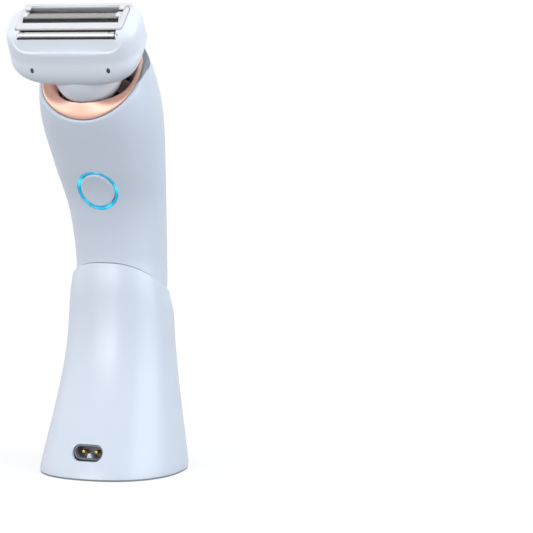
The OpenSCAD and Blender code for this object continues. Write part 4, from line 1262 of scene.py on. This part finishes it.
@dataclass
class Handle:
    """Handle: two shells, button with its light, metal collar and dark bowl."""

    shop: Workshop
    form: HandleForm = field(default_factory=HandleForm)
    rows: int = 150
    columns: int = 97
    tail_rows: tuple[float, int] = (0.012, 7)
    rim_rows: tuple[float, int] = (0.004, 6)
    rim_gap: float = 0.2
    tail_round: float = 1.6
    rim_round: float = 1.0
    bore_gap: float = 0.1
    bore_cut: tuple[float, float] = (8.0, 30.0)
    light_r: float = 7.85
    light_w: float = 0.95
    light_t: float = 2.3
    light_up: float = 0.02
    light_crown: float = 0.37
    crown_span: tuple[float, float] = (0.06, 0.94)
    light_steps: int = 128
    button_r: float = 6.6
    button_t: float = 3.0
    button_up: float = 0.1
    button_dish: float = 0.3
    dish_span: tuple[float, float] = (0.02, 0.88)
    button_edge: tuple[float, float] = (0.8, 0.55)
    edge_start: float = 0.15
    button_stem: float = 1.5
    button_depth: float = 7.6
    button_steps: int = 96
    collar_steps: int = 240
    collar_round: tuple[float, ...] = (0.2, 0.2, 0.25, 2.2, 0.3, 0.2)
    root_sink: tuple[float, float] = (1.0, 3.0)
    root_inset: float = 2.2
    brim_up: float = 0.1
    brim_inset: float = 0.9
    ledge_up: float = 0.2
    ledge_in: float = 2.6
    swell_up: float = 1.0
    swell_out: float = 0.1
    lip_r: float = 13.5
    lip_up: float = 8.4
    lip_flare: float = 0.9
    copper_fade: tuple[float, float] = (0.3, 0.7)
    copper_lean: float = 0.1
    under_share: float = 0.3
    liner_sink: tuple[float, float] = (0.15, 0.6)
    liner_wall: float = 0.8
    liner_low: tuple[float, float] = (0.6, 3.0)
    liner_flare: float = 0.3
    liner_round: tuple[float, ...] = (0.2, 2.0, 0.5, 0.35, 0.2, 0.8, 0.2)
    back_bulge: float = 2.2
    back_fade: tuple[float, float] = (0.5, 0.8)
    # Grey line between collar and shell, and the band of painted shade that it broadens into along the hood.
    shade_band_fade: tuple[float, float] = (0.27, 0.62)
    shade_band_h: float = 2.6
    line_and_shade_up: tuple[float, float] = (0.08, 0.15)
    line_and_shade_sink: float = 0.18
    line_and_shade_inset: float = 0.9
    shade_band_out: float = 0.97
    shade_band_rush: float = 8.0
    line_and_shade_root: float = 1.6
    bowl_profile: Profile = (
        (3.5, -9.2), (13.4, -9.2), (13.4, -7.2), (10.2, -7.2), (10.6, 0.0), (13.2, 4.0), (13.2, 5.6), (12.3, 5.6),
        (11.9, 4.6), (9.4, 0.0), (8.4, -7.2), (3.5, -7.2))
    bowl_round: float = 0.5
    boss_profile: Profile = ((1.55, 9.9), (3.2, 9.9), (3.2, 12.4), (1.55, 12.4))
    boss_round: float = 0.3

    def half_shell(self, name: str, start: float) -> bpy.types.Object:
        """Builds one half of the handle's shell.

        Args:
            name: The piece's name.
            start: Angle in radians at which the half starts.

        Returns:
            The half as a closed wall.
        """
        angle = even_angles(self.columns, self.form.square, start, start + math.pi, False)[None, :]
        low, top = self.form.tail_z, self.form.rim(angle) - self.rim_gap
        share = np.unique(np.concatenate([np.linspace(0, 1, self.rows), np.linspace(0, *self.tail_rows),
                                          1 - np.linspace(0, *self.rim_rows)]))[:, None]
        z = low + (top - low) * share
        angles = angle + 0 * share
        edge = rolled(z - low, self.tail_round) + rolled(top - z, self.rim_round)
        outer = self.form.skin(z, angles, edge)
        inner = self.form.skin(z, angles, self.form.wall)
        rows, columns = outer.shape[:2]
        numbers = np.arange(rows * columns).reshape(rows, columns)

        def seam(edge: Array, *order: int) -> Array:
            """Faces from a line of outer points to the inner points behind it, in an order of corners."""
            near, far = edge, edge + numbers.size
            return np.stack([near[:-1], near[1:], far[1:], far[:-1]], -1)[:, order]

        skin = grid_faces(rows, columns)
        faces = np.concatenate([
            skin, skin[:, ::-1] + numbers.size, seam(numbers[0], 0, 1, 2, 3), seam(numbers[-1], 0, 3, 2, 1),
            seam(numbers[:, 0], 0, 3, 2, 1), seam(numbers[:, -1], 0, 1, 2, 3)])
        points = np.concatenate([outer.reshape(-1, 3), inner.reshape(-1, 3)])
        return new_piece(name, points, faces)

    def build_shells(self) -> None:
        """Builds the front shell with the button's bore, and the back shell with its flutes."""
        front = self.half_shell("front_shell_skin", math.pi)
        place = NECK @ Matrix.Translation((0.0, 0.0, -BUTTON_DOWN)) @ FRONT_ON
        outline = circle(self.light_r + self.bore_gap, self.light_steps)
        carve(front, [prism("button_bore", outline, *self.bore_cut, place)])
        self.shop.fix(front, "handle", Slot.SHELL, "front_shell")
        self.shop.fix(self.half_shell("back_shell_skin", 0.0), "handle", Slot.SHELL, "back_shell")

    def neck_ring(self, radius: float, away: float, steps: int) -> Array:
        """Ring round the button's axis that follows the handle's skin.

        Args:
            radius: Its radius.
            away: Distance in front of the skin, less than 0 behind it.
            steps: Number of its points.

        Returns:
            The ring in the neck's frame.
        """
        x, up = circle(radius, steps).T - ((0.0,), (BUTTON_DOWN,))
        return np.stack([x, self.form.front(x, up, NECK) - away, up], -1)

    def build_button(self) -> None:
        """Builds the light ring and the dished button, both following the handle's skin."""
        inner, outer, side = self.light_r - self.light_w, self.light_r, self.light_up - self.light_crown
        crown = [(inner + self.light_w * t, self.light_up - self.light_crown * (2 * t - 1) ** 2)
                 for t in np.linspace(*self.crown_span, 9)]
        profile = [(inner, -self.light_t), (inner, side), *crown, (outer, side), (outer, -self.light_t)]
        rings = [self.neck_ring(radius, away, self.light_steps) for radius, away in profile]
        self.shop.fix(loft("light_ring_guide", rings, NECK, looped=True), "handle", Slot.GLOW, "light_ring")
        r, up = self.button_r, self.button_up
        (low, high), (wide, deep) = self.dish_span, self.button_edge
        face = [(r * s, up - self.button_dish * (1 - (s / high) ** 2)) for s in np.linspace(low, high, 16)]
        edge = [(r - wide + wide * math.sin(t), up - deep * (1 - math.cos(t)))
                for t in np.linspace(self.edge_start, math.pi / 2, 8)]
        body = [(r, -self.button_t), (self.button_stem, -self.button_t), (self.button_stem, -self.button_depth)]
        rings = [self.neck_ring(radius, away, self.button_steps) for radius, away in face + edge + body]
        self.shop.fix(loft("power_button_cap", rings, NECK), "button", Slot.PEARL, "power_button")

    def rim_ring(self, angle: Array, up: Array | float, inset: Array | float) -> Array:
        """Ring along the neck's rim, raised above it and set in."""
        return self.form.plain(self.form.rim(angle) + up, angle, inset)

    def mouth_ring(self, angle: Array, radius: Array | float, up: float) -> Array:
        """Ring of the round mouth, in the solids' frame."""
        points = np.stack([radius * np.cos(angle), radius * np.sin(angle), np.full(len(angle), up)], -1)
        turn = np.array(NECK)
        return points @ turn[:3, :3].T + turn[:3, 3]

    def build_collar(self) -> None:
        """Builds the metal collar from the rim to the mouth, with the lining, and the grey line that broadens into
        painted shade along the hood.
        """
        angle = np.linspace(0, TURN, self.collar_steps, endpoint=False)
        climb = (1 + np.sin(angle)) / 2
        swell = (1 - climb) ** 2
        sink, slope = self.root_sink
        foot = self.rim_ring(angle, -slope * climb - sink, self.root_inset)
        ledge = self.rim_ring(angle, self.ledge_up + self.swell_up * swell,
                              self.brim_inset + self.ledge_in * climb - self.swell_out * swell)
        lip_r = self.lip_r + self.lip_flare * climb ** 2
        lip = self.mouth_ring(angle, lip_r, self.lip_up)
        share = 1 - eased(climb + self.copper_lean * np.cos(angle), *self.copper_fade)
        edge = ledge + (lip - ledge) * share[:, None]
        under = edge + (foot - edge) * self.under_share
        root, brim = (self.rim_ring(angle, self.brim_up, inset) for inset in (self.root_inset, self.brim_inset))
        rings = rounded_rings([foot, root, brim, ledge, edge, under], self.collar_round, 6, 6)
        self.shop.fix(loft("neck_collar_band", rings, looped=True), "handle", Slot.COPPER, "neck_collar")
        self.build_lining(angle, edge, under, lip_r)
        self.build_line_and_shade_band(angle)

    def build_lining(self, angle: Array, edge: Array, under: Array, lip_r: Array) -> None:
        """Builds the dark lining from the collar's edge to the mouth, with room for the ball behind it.

        Args:
            angle: Angle of each point round the neck.
            edge: Ring of the collar's inner edge.
            under: Ring below that edge.
            lip_r: Radius of the mouth at each point.
        """
        climb = (1 + np.sin(angle)) / 2
        lip = self.mouth_ring(angle, lip_r, self.lip_up)
        step, deep = (np.array([0.0, 0.0, sink]) for sink in self.liner_sink)
        outward = self.mouth_ring(angle, 1.0, 0.0) - self.mouth_ring(angle, 0.0, 0.0)
        waist = (edge + lip) / 2 + (self.back_bulge * climb ** 2)[:, None] * outward
        behind = under + (waist + self.liner_wall * outward - under) * eased(climb, *self.back_fade)[:, None]
        near, far = self.liner_low
        corners = [edge - step, waist - step, lip - step, self.mouth_ring(angle, lip_r, self.lip_up - near),
                   self.mouth_ring(angle, lip_r + self.liner_flare * climb, self.lip_up - far),
                   behind - deep, under - deep]
        rings = rounded_rings(corners, self.liner_round, 5, 4)
        # The lining takes the lighter copy of the dark plastic, which paints light into its shade.
        self.shop.fix(loft("neck_collar_liner", rings, looped=True), "handle", Slot.DARK, look=BOWL_PAINTED_LIGHT)

    def build_line_and_shade_band(self, angle: Array) -> None:
        """Builds the grey line between collar and shell, which broadens along the hood into a band of painted shade,
        standing in for the head's shade on the hood's rim.

        Args:
            angle: Angle of each point round the neck.
        """
        # Painted shade: past the front, the line widens into a grey band where the head shades the hood's rim.
        shade_band_share = eased((1 + np.sin(angle)) / 2, *self.shade_band_fade)
        high, low = self.line_and_shade_up[0] + self.line_and_shade_up[1] * shade_band_share, -self.line_and_shade_sink - self.shade_band_h * shade_band_share
        inset = self.line_and_shade_inset - self.shade_band_out * np.clip(self.shade_band_rush * shade_band_share, 0, 1)
        rings = [self.rim_ring(angle, up, self.line_and_shade_root) for up in (low, high)]
        rings += [self.rim_ring(angle, high + (low - high) * t, inset) for t in np.linspace(0, 1, 9)]
        self.shop.fix(loft("collar_line_and_shade", rings, looped=True), "handle", Slot.RUBBER)

    def build_bowl(self) -> None:
        """Builds the dark bowl that the ball turns in, with the bosses of the pivot pins."""
        bowl = lathe("neck_bowl_liner", rounded(self.bowl_profile, self.bowl_round, 5, True), NECK, 128, looped=True)
        boss = rounded(self.boss_profile, self.boss_round, 4, True)
        bosses = [lathe("boss", boss, NECK @ Matrix.Rotation(side * math.pi / 2, 4, "Y"), 48, looped=True)
                  for side in SIDES]
        # The bowl takes the same lighter copy, painted light for its shaded inside.
        self.shop.fix(joined("neck_bowl_cup", [bowl, *bosses]), "handle", Slot.DARK, "neck_bowl", look=BOWL_PAINTED_LIGHT)

    def build(self) -> None:
        """Builds and dresses the whole handle."""
        self.build_shells()
        self.build_button()
        self.build_collar()
        self.build_bowl()
        self.shop.dress({"tail_cap": Slot.SHELL, "tail_contacts": Slot.BRASS, "motor_frame": Slot.DARK,
                         "frame_screws": Slot.BLADE, "motor": Slot.BLADE, "battery_tray": Slot.DARK,
                         "battery": Slot.CELL, "battery_tabs": Slot.BLADE, "main_board": Slot.BOARD,
                         "power_switch": Slot.DARK, "motor_shaft": Slot.BLADE, "crank": Slot.BRASS,
                         "pivot_cradle": Slot.DARK, "pivot_pins": Slot.BLADE})


@dataclass
class ShaverHead:
    """Head: housing with its ball stem, guide roller, foil in its frame, trimmer and cutters."""

    shop: Workshop
    form: HeadForm = field(default_factory=HeadForm)
    rings: int = 190
    columns: int = 200
    section_square: float = 3.0
    gap: float = 0.3
    cut_top: float = 60.0
    frame_half_w: float = 20.3
    frame_half_d: float = 5.6
    frame_back: float = 5.1
    frame_top: float = 39.2
    frame_t: float = 2.4
    frame_corner: float = 1.4
    frame_inner_corner: float = 0.3
    frame_room: float = 0.1
    frame_round: tuple[float, ...] = (0.25, 0.6, 0.18, 0.15)
    pocket_low: float = 35.3
    well_span: tuple[float, float] = (1.0, 10.35)
    well_low: float = 31.5
    well_top: float = 38.1
    deep_span: tuple[float, float] = (1.2, 8.8)
    deep_low: float = 29.9
    arm_room: tuple[Triple, Triple] = ((-7.0, -2.2, 27.3), (7.0, 4.5, 34.6))
    foil_half: float = 18.5
    foil_r: float = 3.6
    foil_t: float = 0.2
    foil_axis: float = FOIL_AXIS
    foil_back: float = FOIL_BACK
    foil_pitch: float = 0.56
    foil_hole: float = 0.58
    foil_gap: float = 0.7
    bezel: tuple[float, float] = (11.05, 12.2)
    bezel_slope: tuple[float, float] = (0.9, 1.0)
    bezel_end: float = 0.2
    bezel_round: float = 0.2
    bezel_edge: float = 0.15
    cheek_rim: float = 0.18
    cheek_low: float = 2.2
    cheek_half_t: float = 0.15
    cheek_edge: float = 0.1
    strap_span: tuple[float, float] = (56.0, 100.0)
    strap_wall: tuple[float, float] = (0.02, 0.4)
    clip: float = 1.5
    clip_gap: float = 0.04
    clip_t: float = 0.4
    clip_front: float = 8.6
    clip_reach: tuple[float, float] = (0.05, 0.6)
    clip_corner: float = 0.2
    roller_r: float = 1.3
    roller_half: float = 18.25
    roller_v: float = -2.3
    roller_u: float = 37.4
    roller_collar: Profile = ((0.0, 0.0), (0.0, 1.5), (0.2, 1.6), (0.2, 2.1), (0.0, 2.2))
    groove: Profile = ((0.0, 0.0), (0.07, 0.12), (0.07, 0.2), (0.0, 0.32))
    groove_start: float = 2.6
    groove_pitch: float = 0.6
    axle: float = 0.8
    axle_r: float = 0.5
    axle_bore: float = 0.55
    # Dark tray under the roller and dark plate before the frame, which paint the shade of the roller's slot.
    slot_shade_span: tuple[float, float] = (165.0, 360.0)
    slot_shade_r: tuple[float, float] = (1.42, 1.58)
    slot_shade_end: float = 0.5
    shade_plate: tuple[float, float] = (0.08, 0.22)
    shade_plate_drop: float = 0.8
    shade_plate_corner: float = 0.05
    ball_r: float = 12.5
    ball_v: float = 2.0
    ball_u: float = 16.5
    ball_low: float = 6.5
    ball_top: float = 27.0
    ball_gap: float = 0.1
    ball_room: tuple[float, float] = (-1.54, 1.0)
    stem_core: float = 0.5
    stem_edge: float = 1.4
    stem_round: float = 0.7
    post_bore: tuple[float, float] = (6.08, 12.3)
    arm_bore: tuple[float, float] = (4.5, 40.0)
    notch_x: float = 14.6
    notch_v: float = -9.8
    notch_u: float = 28.0
    notch_r: float = 0.7
    notch_half: float = 0.9
    notch_depth: float = 3.0
    # Dark fills sunk in the notches, which paint the shade inside them.
    notch_shade_inset: float = 0.04
    notch_shade_span: tuple[float, float] = (-2.95, -1.5)
    comb_u: float = 35.5
    comb_v: float = 9.9
    comb_top: float = 39.3
    comb_t: float = 0.4
    comb_pitch: float = 0.8
    comb_tooth: float = 0.45
    comb_depth: float = 1.4
    blade_u: float = 34.3
    blade_v: float = 9.4
    blade_len: float = 33.8

    def rod(self, name: str, radius: float, half: float) -> bpy.types.Object:
        """Round rod along the roller's axis, for cutting."""
        return prism(name, circle(radius, 48), -half, half, self.roller_frame() @ ALONG_X)

    def roller_frame(self) -> Matrix:
        """Frame at the roller's middle, turned as the head is."""
        return HEAD @ Matrix.Translation((0, self.roller_v, self.roller_u))

    def ball_frame(self) -> Matrix:
        """Frame at the ball's centre, turned as the head is."""
        return HEAD @ Matrix.Translation((0, self.ball_v, self.ball_u))

    def notch_frame(self, side: int) -> Matrix:
        """Frame of a notch in the head's front, with Z pointing out of it."""
        place = HEAD @ Matrix.Translation((side * self.notch_x, self.notch_v, self.notch_u))
        return place @ Matrix.Rotation(-math.radians(HEAD_LEAN), 4, "X") @ FRONT_ON

    def notch_outline(self, inset: float) -> Array:
        """Outline of a notch, set in, as rows of x and y."""
        flat = stadium(self.notch_half - inset, self.notch_r - inset, 10)[:, ::-1]
        return flat + np.array([0.0, self.notch_r - self.notch_half])

    def build_housing(self) -> None:
        """Builds the housing with its sunk panel, pockets, roller slot and notches."""
        end = even_angles(self.rings + 2, self.form.side_square, -math.pi / 2, math.pi / 2, False)[1:-1, None]
        angle = even_angles(self.columns, self.section_square)[None, :]
        points = self.form.sunk(self.form.bare(end + 0 * angle, angle + 0 * end))
        housing = loft("head_housing_skin", list(points), HEAD)
        gap, front = self.gap, self.frame_back - self.frame_half_d
        frame_end, foil_end, roller_end = (
            half + gap for half in (self.frame_half_w, self.foil_half, self.roller_half))
        (well, well_back), (deep, deep_back) = self.well_span, self.deep_span
        cutters = [
            block("pocket", (-frame_end, front - gap, self.pocket_low),
                  (frame_end, self.frame_back + self.frame_half_d + gap, self.cut_top), HEAD, self.frame_corner),
            block("well", (-foil_end, well, self.well_low), (foil_end, well_back, self.well_top), HEAD),
            block("deep", (-foil_end, deep, self.deep_low), (foil_end, deep_back, self.well_top), HEAD),
            block("arm", *self.arm_room, HEAD),
            block("trough", (-roller_end, self.roller_v - self.roller_r - gap, self.roller_u),
                  (roller_end, front, self.cut_top), HEAD),
            self.rod("slot", self.roller_r + gap, roller_end),
            self.rod("axle", self.axle_bore, self.roller_half + self.axle + gap)]
        r, (low, high) = self.ball_r + self.ball_gap, self.ball_room
        ball = [(r * math.cos(t), r * math.sin(t)) for t in np.linspace(low, high, 40)]
        ball = [(NEAR_AXIS, -r), *ball, (NEAR_AXIS, r * math.sin(high))]
        cutters.append(lathe("ball_room", ball, self.ball_frame(), 128))
        carve(housing, [prism("notch", self.notch_outline(0.0), -self.notch_depth, self.notch_depth,
                              self.notch_frame(side)) for side in SIDES])
        carve(housing, cutters)
        self.shop.fix(housing, "head", Slot.HEAD, "head_housing")

    def build_liners(self) -> None:
        """Builds dark fills that paint the shade deep in the notches, a dark tray and plate that paint the shade of
        the slot round the roller, and the white rail at the back.
        """
        # Painted shade: dark fills sunk in the notches stand in for the shade deep inside them.
        shade_fills = [prism("notch_shade", self.notch_outline(self.notch_shade_inset), *self.notch_shade_span, self.notch_frame(side))
                 for side in SIDES]
        self.shop.fix(joined("notch_shade_fills", shade_fills), "head", Slot.DARK)
        # Painted shade: a dark tray under the roller and a dark plate before the frame stand in for the shade in the
        # roller's slot.
        trough, end = arc(*self.slot_shade_span, 24), self.roller_half + self.slot_shade_end
        outline = np.concatenate([trough * self.slot_shade_r[1], trough[::-1] * self.slot_shade_r[0]])
        tray = prism("roller_tray", outline, -end, end, self.roller_frame() @ END_ON)
        front = self.frame_back - self.frame_half_d
        shade_plate = block("shade_plate", (-self.roller_half, front - self.shade_plate[1], self.pocket_low),
                      (self.roller_half, front - self.shade_plate[0], self.frame_top - self.shade_plate_drop), HEAD,
                      self.shade_plate_corner)
        self.shop.fix(joined("roller_slot_shade", [tray, shade_plate]), "head", Slot.DARK)
        (near, far), (out, drop) = self.bezel, self.bezel_slope
        end = self.frame_half_w - self.bezel_end
        profile = [(near, self.pocket_low), (far + out, self.pocket_low), (far + out, self.frame_top - drop),
                   (far, self.frame_top), (near, self.frame_top)]
        rail = prism("head_bezel", np.array(rounded(profile, self.bezel_round, 4, True)), -end, end, HEAD @ END_ON,
                     edge=self.bezel_edge)
        self.shop.fix(rail, "head", Slot.WHITE)

    def build_stem(self) -> None:
        """Builds the ball stem under the housing, bored for the post and the drive arm."""
        r = self.ball_r
        low, high = (math.asin((u - self.ball_u) / r) for u in (self.ball_low, self.ball_top))
        ball = [(r * math.cos(t), r * math.sin(t)) for t in np.linspace(low, high, 48)]
        start, stop = (self.stem_core, ball[0][1]), (self.stem_core, ball[-1][1])
        edge = rounded([(ball[0][0] - self.stem_edge, ball[0][1]), ball[0], ball[2]], self.stem_round)
        stem = lathe("head_stem_ball", [start, *edge, *ball[3:], stop], self.ball_frame(), 160)
        carve(stem, [prism("bore", circle(radius, 96), 0, top, HEAD)
                     for radius, top in (self.post_bore, self.arm_bore)])
        self.shop.fix(stem, "head", Slot.HEAD, "head_stem")

    def build_roller(self) -> None:
        """Builds the guide roller with its end collars and fine turned grooves."""
        r, half, tip = self.roller_r, self.roller_half, self.roller_half + self.axle
        end = [(NEAR_AXIS, -tip), (self.axle_r, -tip), (self.axle_r, -half)]
        end += [(r - drop, -half + along) for drop, along in self.roller_collar]
        starts = np.arange(-half + self.groove_start, half - self.groove_start, self.groove_pitch)
        grooves = [(r - drop, x + along) for x in starts for drop, along in self.groove]
        profile = [*end, *grooves, *((radius, -x) for radius, x in end[::-1])]
        roller = lathe("guide_roller_bar", profile, self.roller_frame() @ ALONG_X, 48, sharp=TURNED_SHARP)
        self.shop.fix(roller, "roller", Slot.BLADE, "guide_roller")

    def build_frame(self) -> None:
        """Builds the white frame round the foil, and the cheeks, straps and clips that hold the foil's ends."""
        top, low, well_back = self.frame_top, self.frame_top - self.frame_t, self.well_span[1]
        in_w, in_low = self.foil_half + self.frame_room, self.foil_back - self.foil_r + self.foil_gap
        outer = rounded_rectangle(self.frame_half_w, self.frame_half_d, self.frame_corner)
        inner = rounded_rectangle(in_w, (well_back - in_low) / 2, self.frame_inner_corner)
        outer, inner = outer + (0.0, self.frame_back), inner + (0.0, (well_back + in_low) / 2)
        corners = [level(outer, low), level(outer, top), level(inner, top), level(inner, low)]
        held = [loft("frame", rounded_rings(corners, self.frame_round, 7, 0), HEAD, looped=True)]
        r, bridge = self.foil_r + self.cheek_rim, self.comb_top + self.clip_gap
        disc = np.concatenate([arc(0, 180, 33) * r, [(-r, -self.cheek_low), (r, -self.cheek_low)]])
        bow = arc(*self.strap_span, 12)
        under, over = (self.foil_r + wall for wall in self.strap_wall)
        strap = np.concatenate([bow * over, bow[::-1] * under])
        near, far = (in_w + reach for reach in self.clip_reach)
        clips = ((self.foil_half - self.clip, far, bridge, bridge + self.clip_t),
                 (near, far, top - self.clip_t, bridge + self.clip_t / 2))
        for side in SIDES:
            place = HEAD @ Matrix.Translation((side * self.foil_half, self.foil_back, self.foil_axis)) @ END_ON
            held.append(prism("cheek", disc, -self.cheek_half_t, self.cheek_half_t, place, edge=self.cheek_edge))
            held.append(prism("strap", strap, *sorted((-side * self.clip, side * self.frame_room)), place))
            for inner_x, outer_x, foot, head in clips:
                left, right = sorted((side * inner_x, side * outer_x))
                held.append(block("clip", (left, self.clip_front, foot), (right, well_back, head), HEAD,
                                  self.clip_corner))
        self.shop.fix(joined("foil_frame_white", held), "foil", Slot.WHITE, "foil_frame")

    def build_cutters(self) -> None:
        """Builds the perforated foil and the two toothed blades of the trimmer."""
        foil = perforated_foil("shaving_foil_mesh", 2 * self.foil_half, self.foil_r, self.foil_t, self.foil_pitch,
                               self.foil_hole, self.shop.materials[Slot.FOIL],
                               HEAD @ Matrix.Translation((0, self.foil_back, self.foil_axis)))
        self.shop.fix(foil, "foil", Slot.FOIL, "shaving_foil")
        for name, body, node, length, v, low in (
                ("trimmer_comb_teeth", "foil", "trimmer_comb", 2 * self.foil_half, self.comb_v, self.comb_u),
                ("trimmer_blade_teeth", "cutter", "trimmer_blade", self.blade_len, self.blade_v, self.blade_u)):
            blade = toothed_blade(name, length, self.comb_top - low, self.comb_t, self.comb_pitch, self.comb_tooth,
                                  self.comb_depth, self.shop.materials[Slot.BLADE],
                                  HEAD @ Matrix.Translation((0, v, low)))
            self.shop.fix(blade, body, Slot.BLADE, node)

    def build(self) -> None:
        """Builds and dresses the whole head."""
        self.build_housing()
        self.build_liners()
        self.build_stem()
        self.build_roller()
        self.build_frame()
        self.build_cutters()
        self.shop.dress({"float_springs": Slot.BLADE, "cutter_carriage": Slot.DARK, "inner_cutter": Slot.BLADE})


@dataclass(frozen=True)
class SoftLamp:
    """Broad, distant light: the way towards it, its strength, its spread in degrees and its tint."""

    name: str
    toward: Triple
    energy: float
    spread: float
    tint: Colour = (255, 255, 255)

    def hang(self) -> None:
        """Adds the lamp to the scene."""
        data = bpy.data.lights.new(self.name, "SUN")
        data.energy, data.angle, data.color = self.energy, math.radians(self.spread), srgb(*self.tint)[:3]
        linked(self.name, data).rotation_euler = Vector(self.toward).to_track_quat("Z", "Y").to_euler()


@dataclass
class Studio:
    """Pale floor, soft light and the camera at the photograph's angle."""

    floor_half: float = 6000.0
    floor_drop: float = 0.02
    floor_colour: Colour = (148, 149, 151)
    camera_place: Triple = (317.565, -721.822, 138.138)
    camera_ahead: Triple = (-0.335503, 0.938704, -0.079199)
    camera_up: Triple = (-0.031697, 0.072775, 0.996845)
    lens: float = 144.402
    sensor: float = 36.0
    clip: tuple[float, float] = (0.01, 50.0)
    sky: float = 0.695
    sky_mirrored: float = 0.9
    floor_lift: float = 0.725
    floor_mirrored: float = 0.6
    lamps: tuple[SoftLamp, ...] = (
        SoftLamp("left_box", (-0.94, -0.336, 0.35), 0.8, 60, (244, 250, 255)),
        SoftLamp("right_box", (0.95, -0.15, 0.28), 2.15, 60, (240, 248, 255)),
        SoftLamp("front_box", (-0.26, -0.95, 0.2), 1.0, 24))

    def build_floor(self) -> None:
        """Builds the floor, white to the camera and to reflections, with the object's shadow on it."""
        half = self.floor_half
        floor = new_piece("floor", np.array([(-half, -half, 0), (half, -half, 0), (half, half, 0), (-half, half, 0)]),
                          [(0, 1, 2, 3)])
        floor.location.z = -self.floor_drop * MM
        material = bpy.data.materials.new("floor_paper")
        material.use_nodes = True
        tree = material.node_tree
        bench = NodeBench(tree)
        tree.nodes.remove(tree.nodes["Principled BSDF"])
        path = bench.add("ShaderNodeLightPath")
        plain = bench.add("ShaderNodeBsdfDiffuse", {"Color": srgb(*self.floor_colour)})
        mirrored = bench.maths("MULTIPLY", path.outputs["Is Glossy Ray"], self.floor_mirrored)
        strength = bench.maths("MULTIPLY", bench.maths("MAXIMUM", path.outputs["Is Camera Ray"], mirrored),
                               self.floor_lift)
        lift = bench.add("ShaderNodeEmission", {"Color": (1, 1, 1, 1), "Strength": strength})
        both = bench.add("ShaderNodeAddShader", {0: plain.outputs[0], 1: lift.outputs[0]})
        bench.feed(tree.nodes["Material Output"], {"Surface": both.outputs[0]})
        floor.data.materials.append(material)

    def build_sky(self) -> None:
        """Builds the plain white surroundings."""
        scene = bpy.context.scene
        world = bpy.data.worlds.new("studio")
        scene.world = world
        world.use_nodes = True
        tree = world.node_tree
        bench = NodeBench(tree)
        path = bench.add("ShaderNodeLightPath")
        mirrored = bench.ramp(path.outputs["Is Glossy Ray"], 0.0, 1.0, (self.sky, self.sky_mirrored))
        seen = bench.maths("MAXIMUM", mirrored, path.outputs["Is Camera Ray"])
        bench.feed(tree.nodes["Background"], {"Color": (1, 1, 1, 1), "Strength": seen})

    def build_lamps(self) -> None:
        """Hangs the soft lamps."""
        for lamp in self.lamps:
            lamp.hang()

    def build_camera(self) -> None:
        """Sets the camera where the photograph was taken from."""
        ahead, up = Vector(self.camera_ahead).normalized(), Vector(self.camera_up).normalized()
        right = ahead.cross(up).normalized()
        up = right.cross(ahead)
        data = bpy.data.cameras.new("photo_camera")
        data.lens, data.sensor_width = self.lens, self.sensor
        data.clip_start, data.clip_end = self.clip
        camera = linked("photo_camera", data)
        turn = Matrix((right, up, -ahead)).transposed().to_4x4()
        camera.matrix_world = Matrix.Translation(Vector(self.camera_place) * MM) @ turn
        bpy.context.scene.camera = camera

    def build(self) -> None:
        """Builds the whole studio."""
        bpy.context.scene.view_settings.view_transform = "Standard"
        self.build_camera()
        self.build_floor()
        self.build_sky()
        self.build_lamps()


def main() -> None:
    """Builds the studio and each sub-assembly."""
    logging.basicConfig(level=logging.INFO, format="%(name)s: %(message)s")
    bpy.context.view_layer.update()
    Studio().build()
    shop = Workshop()
    for assembly in (Stand(shop), Handle(shop), ShaverHead(shop)):
        assembly.build()


if __name__ == "__main__":
    main()
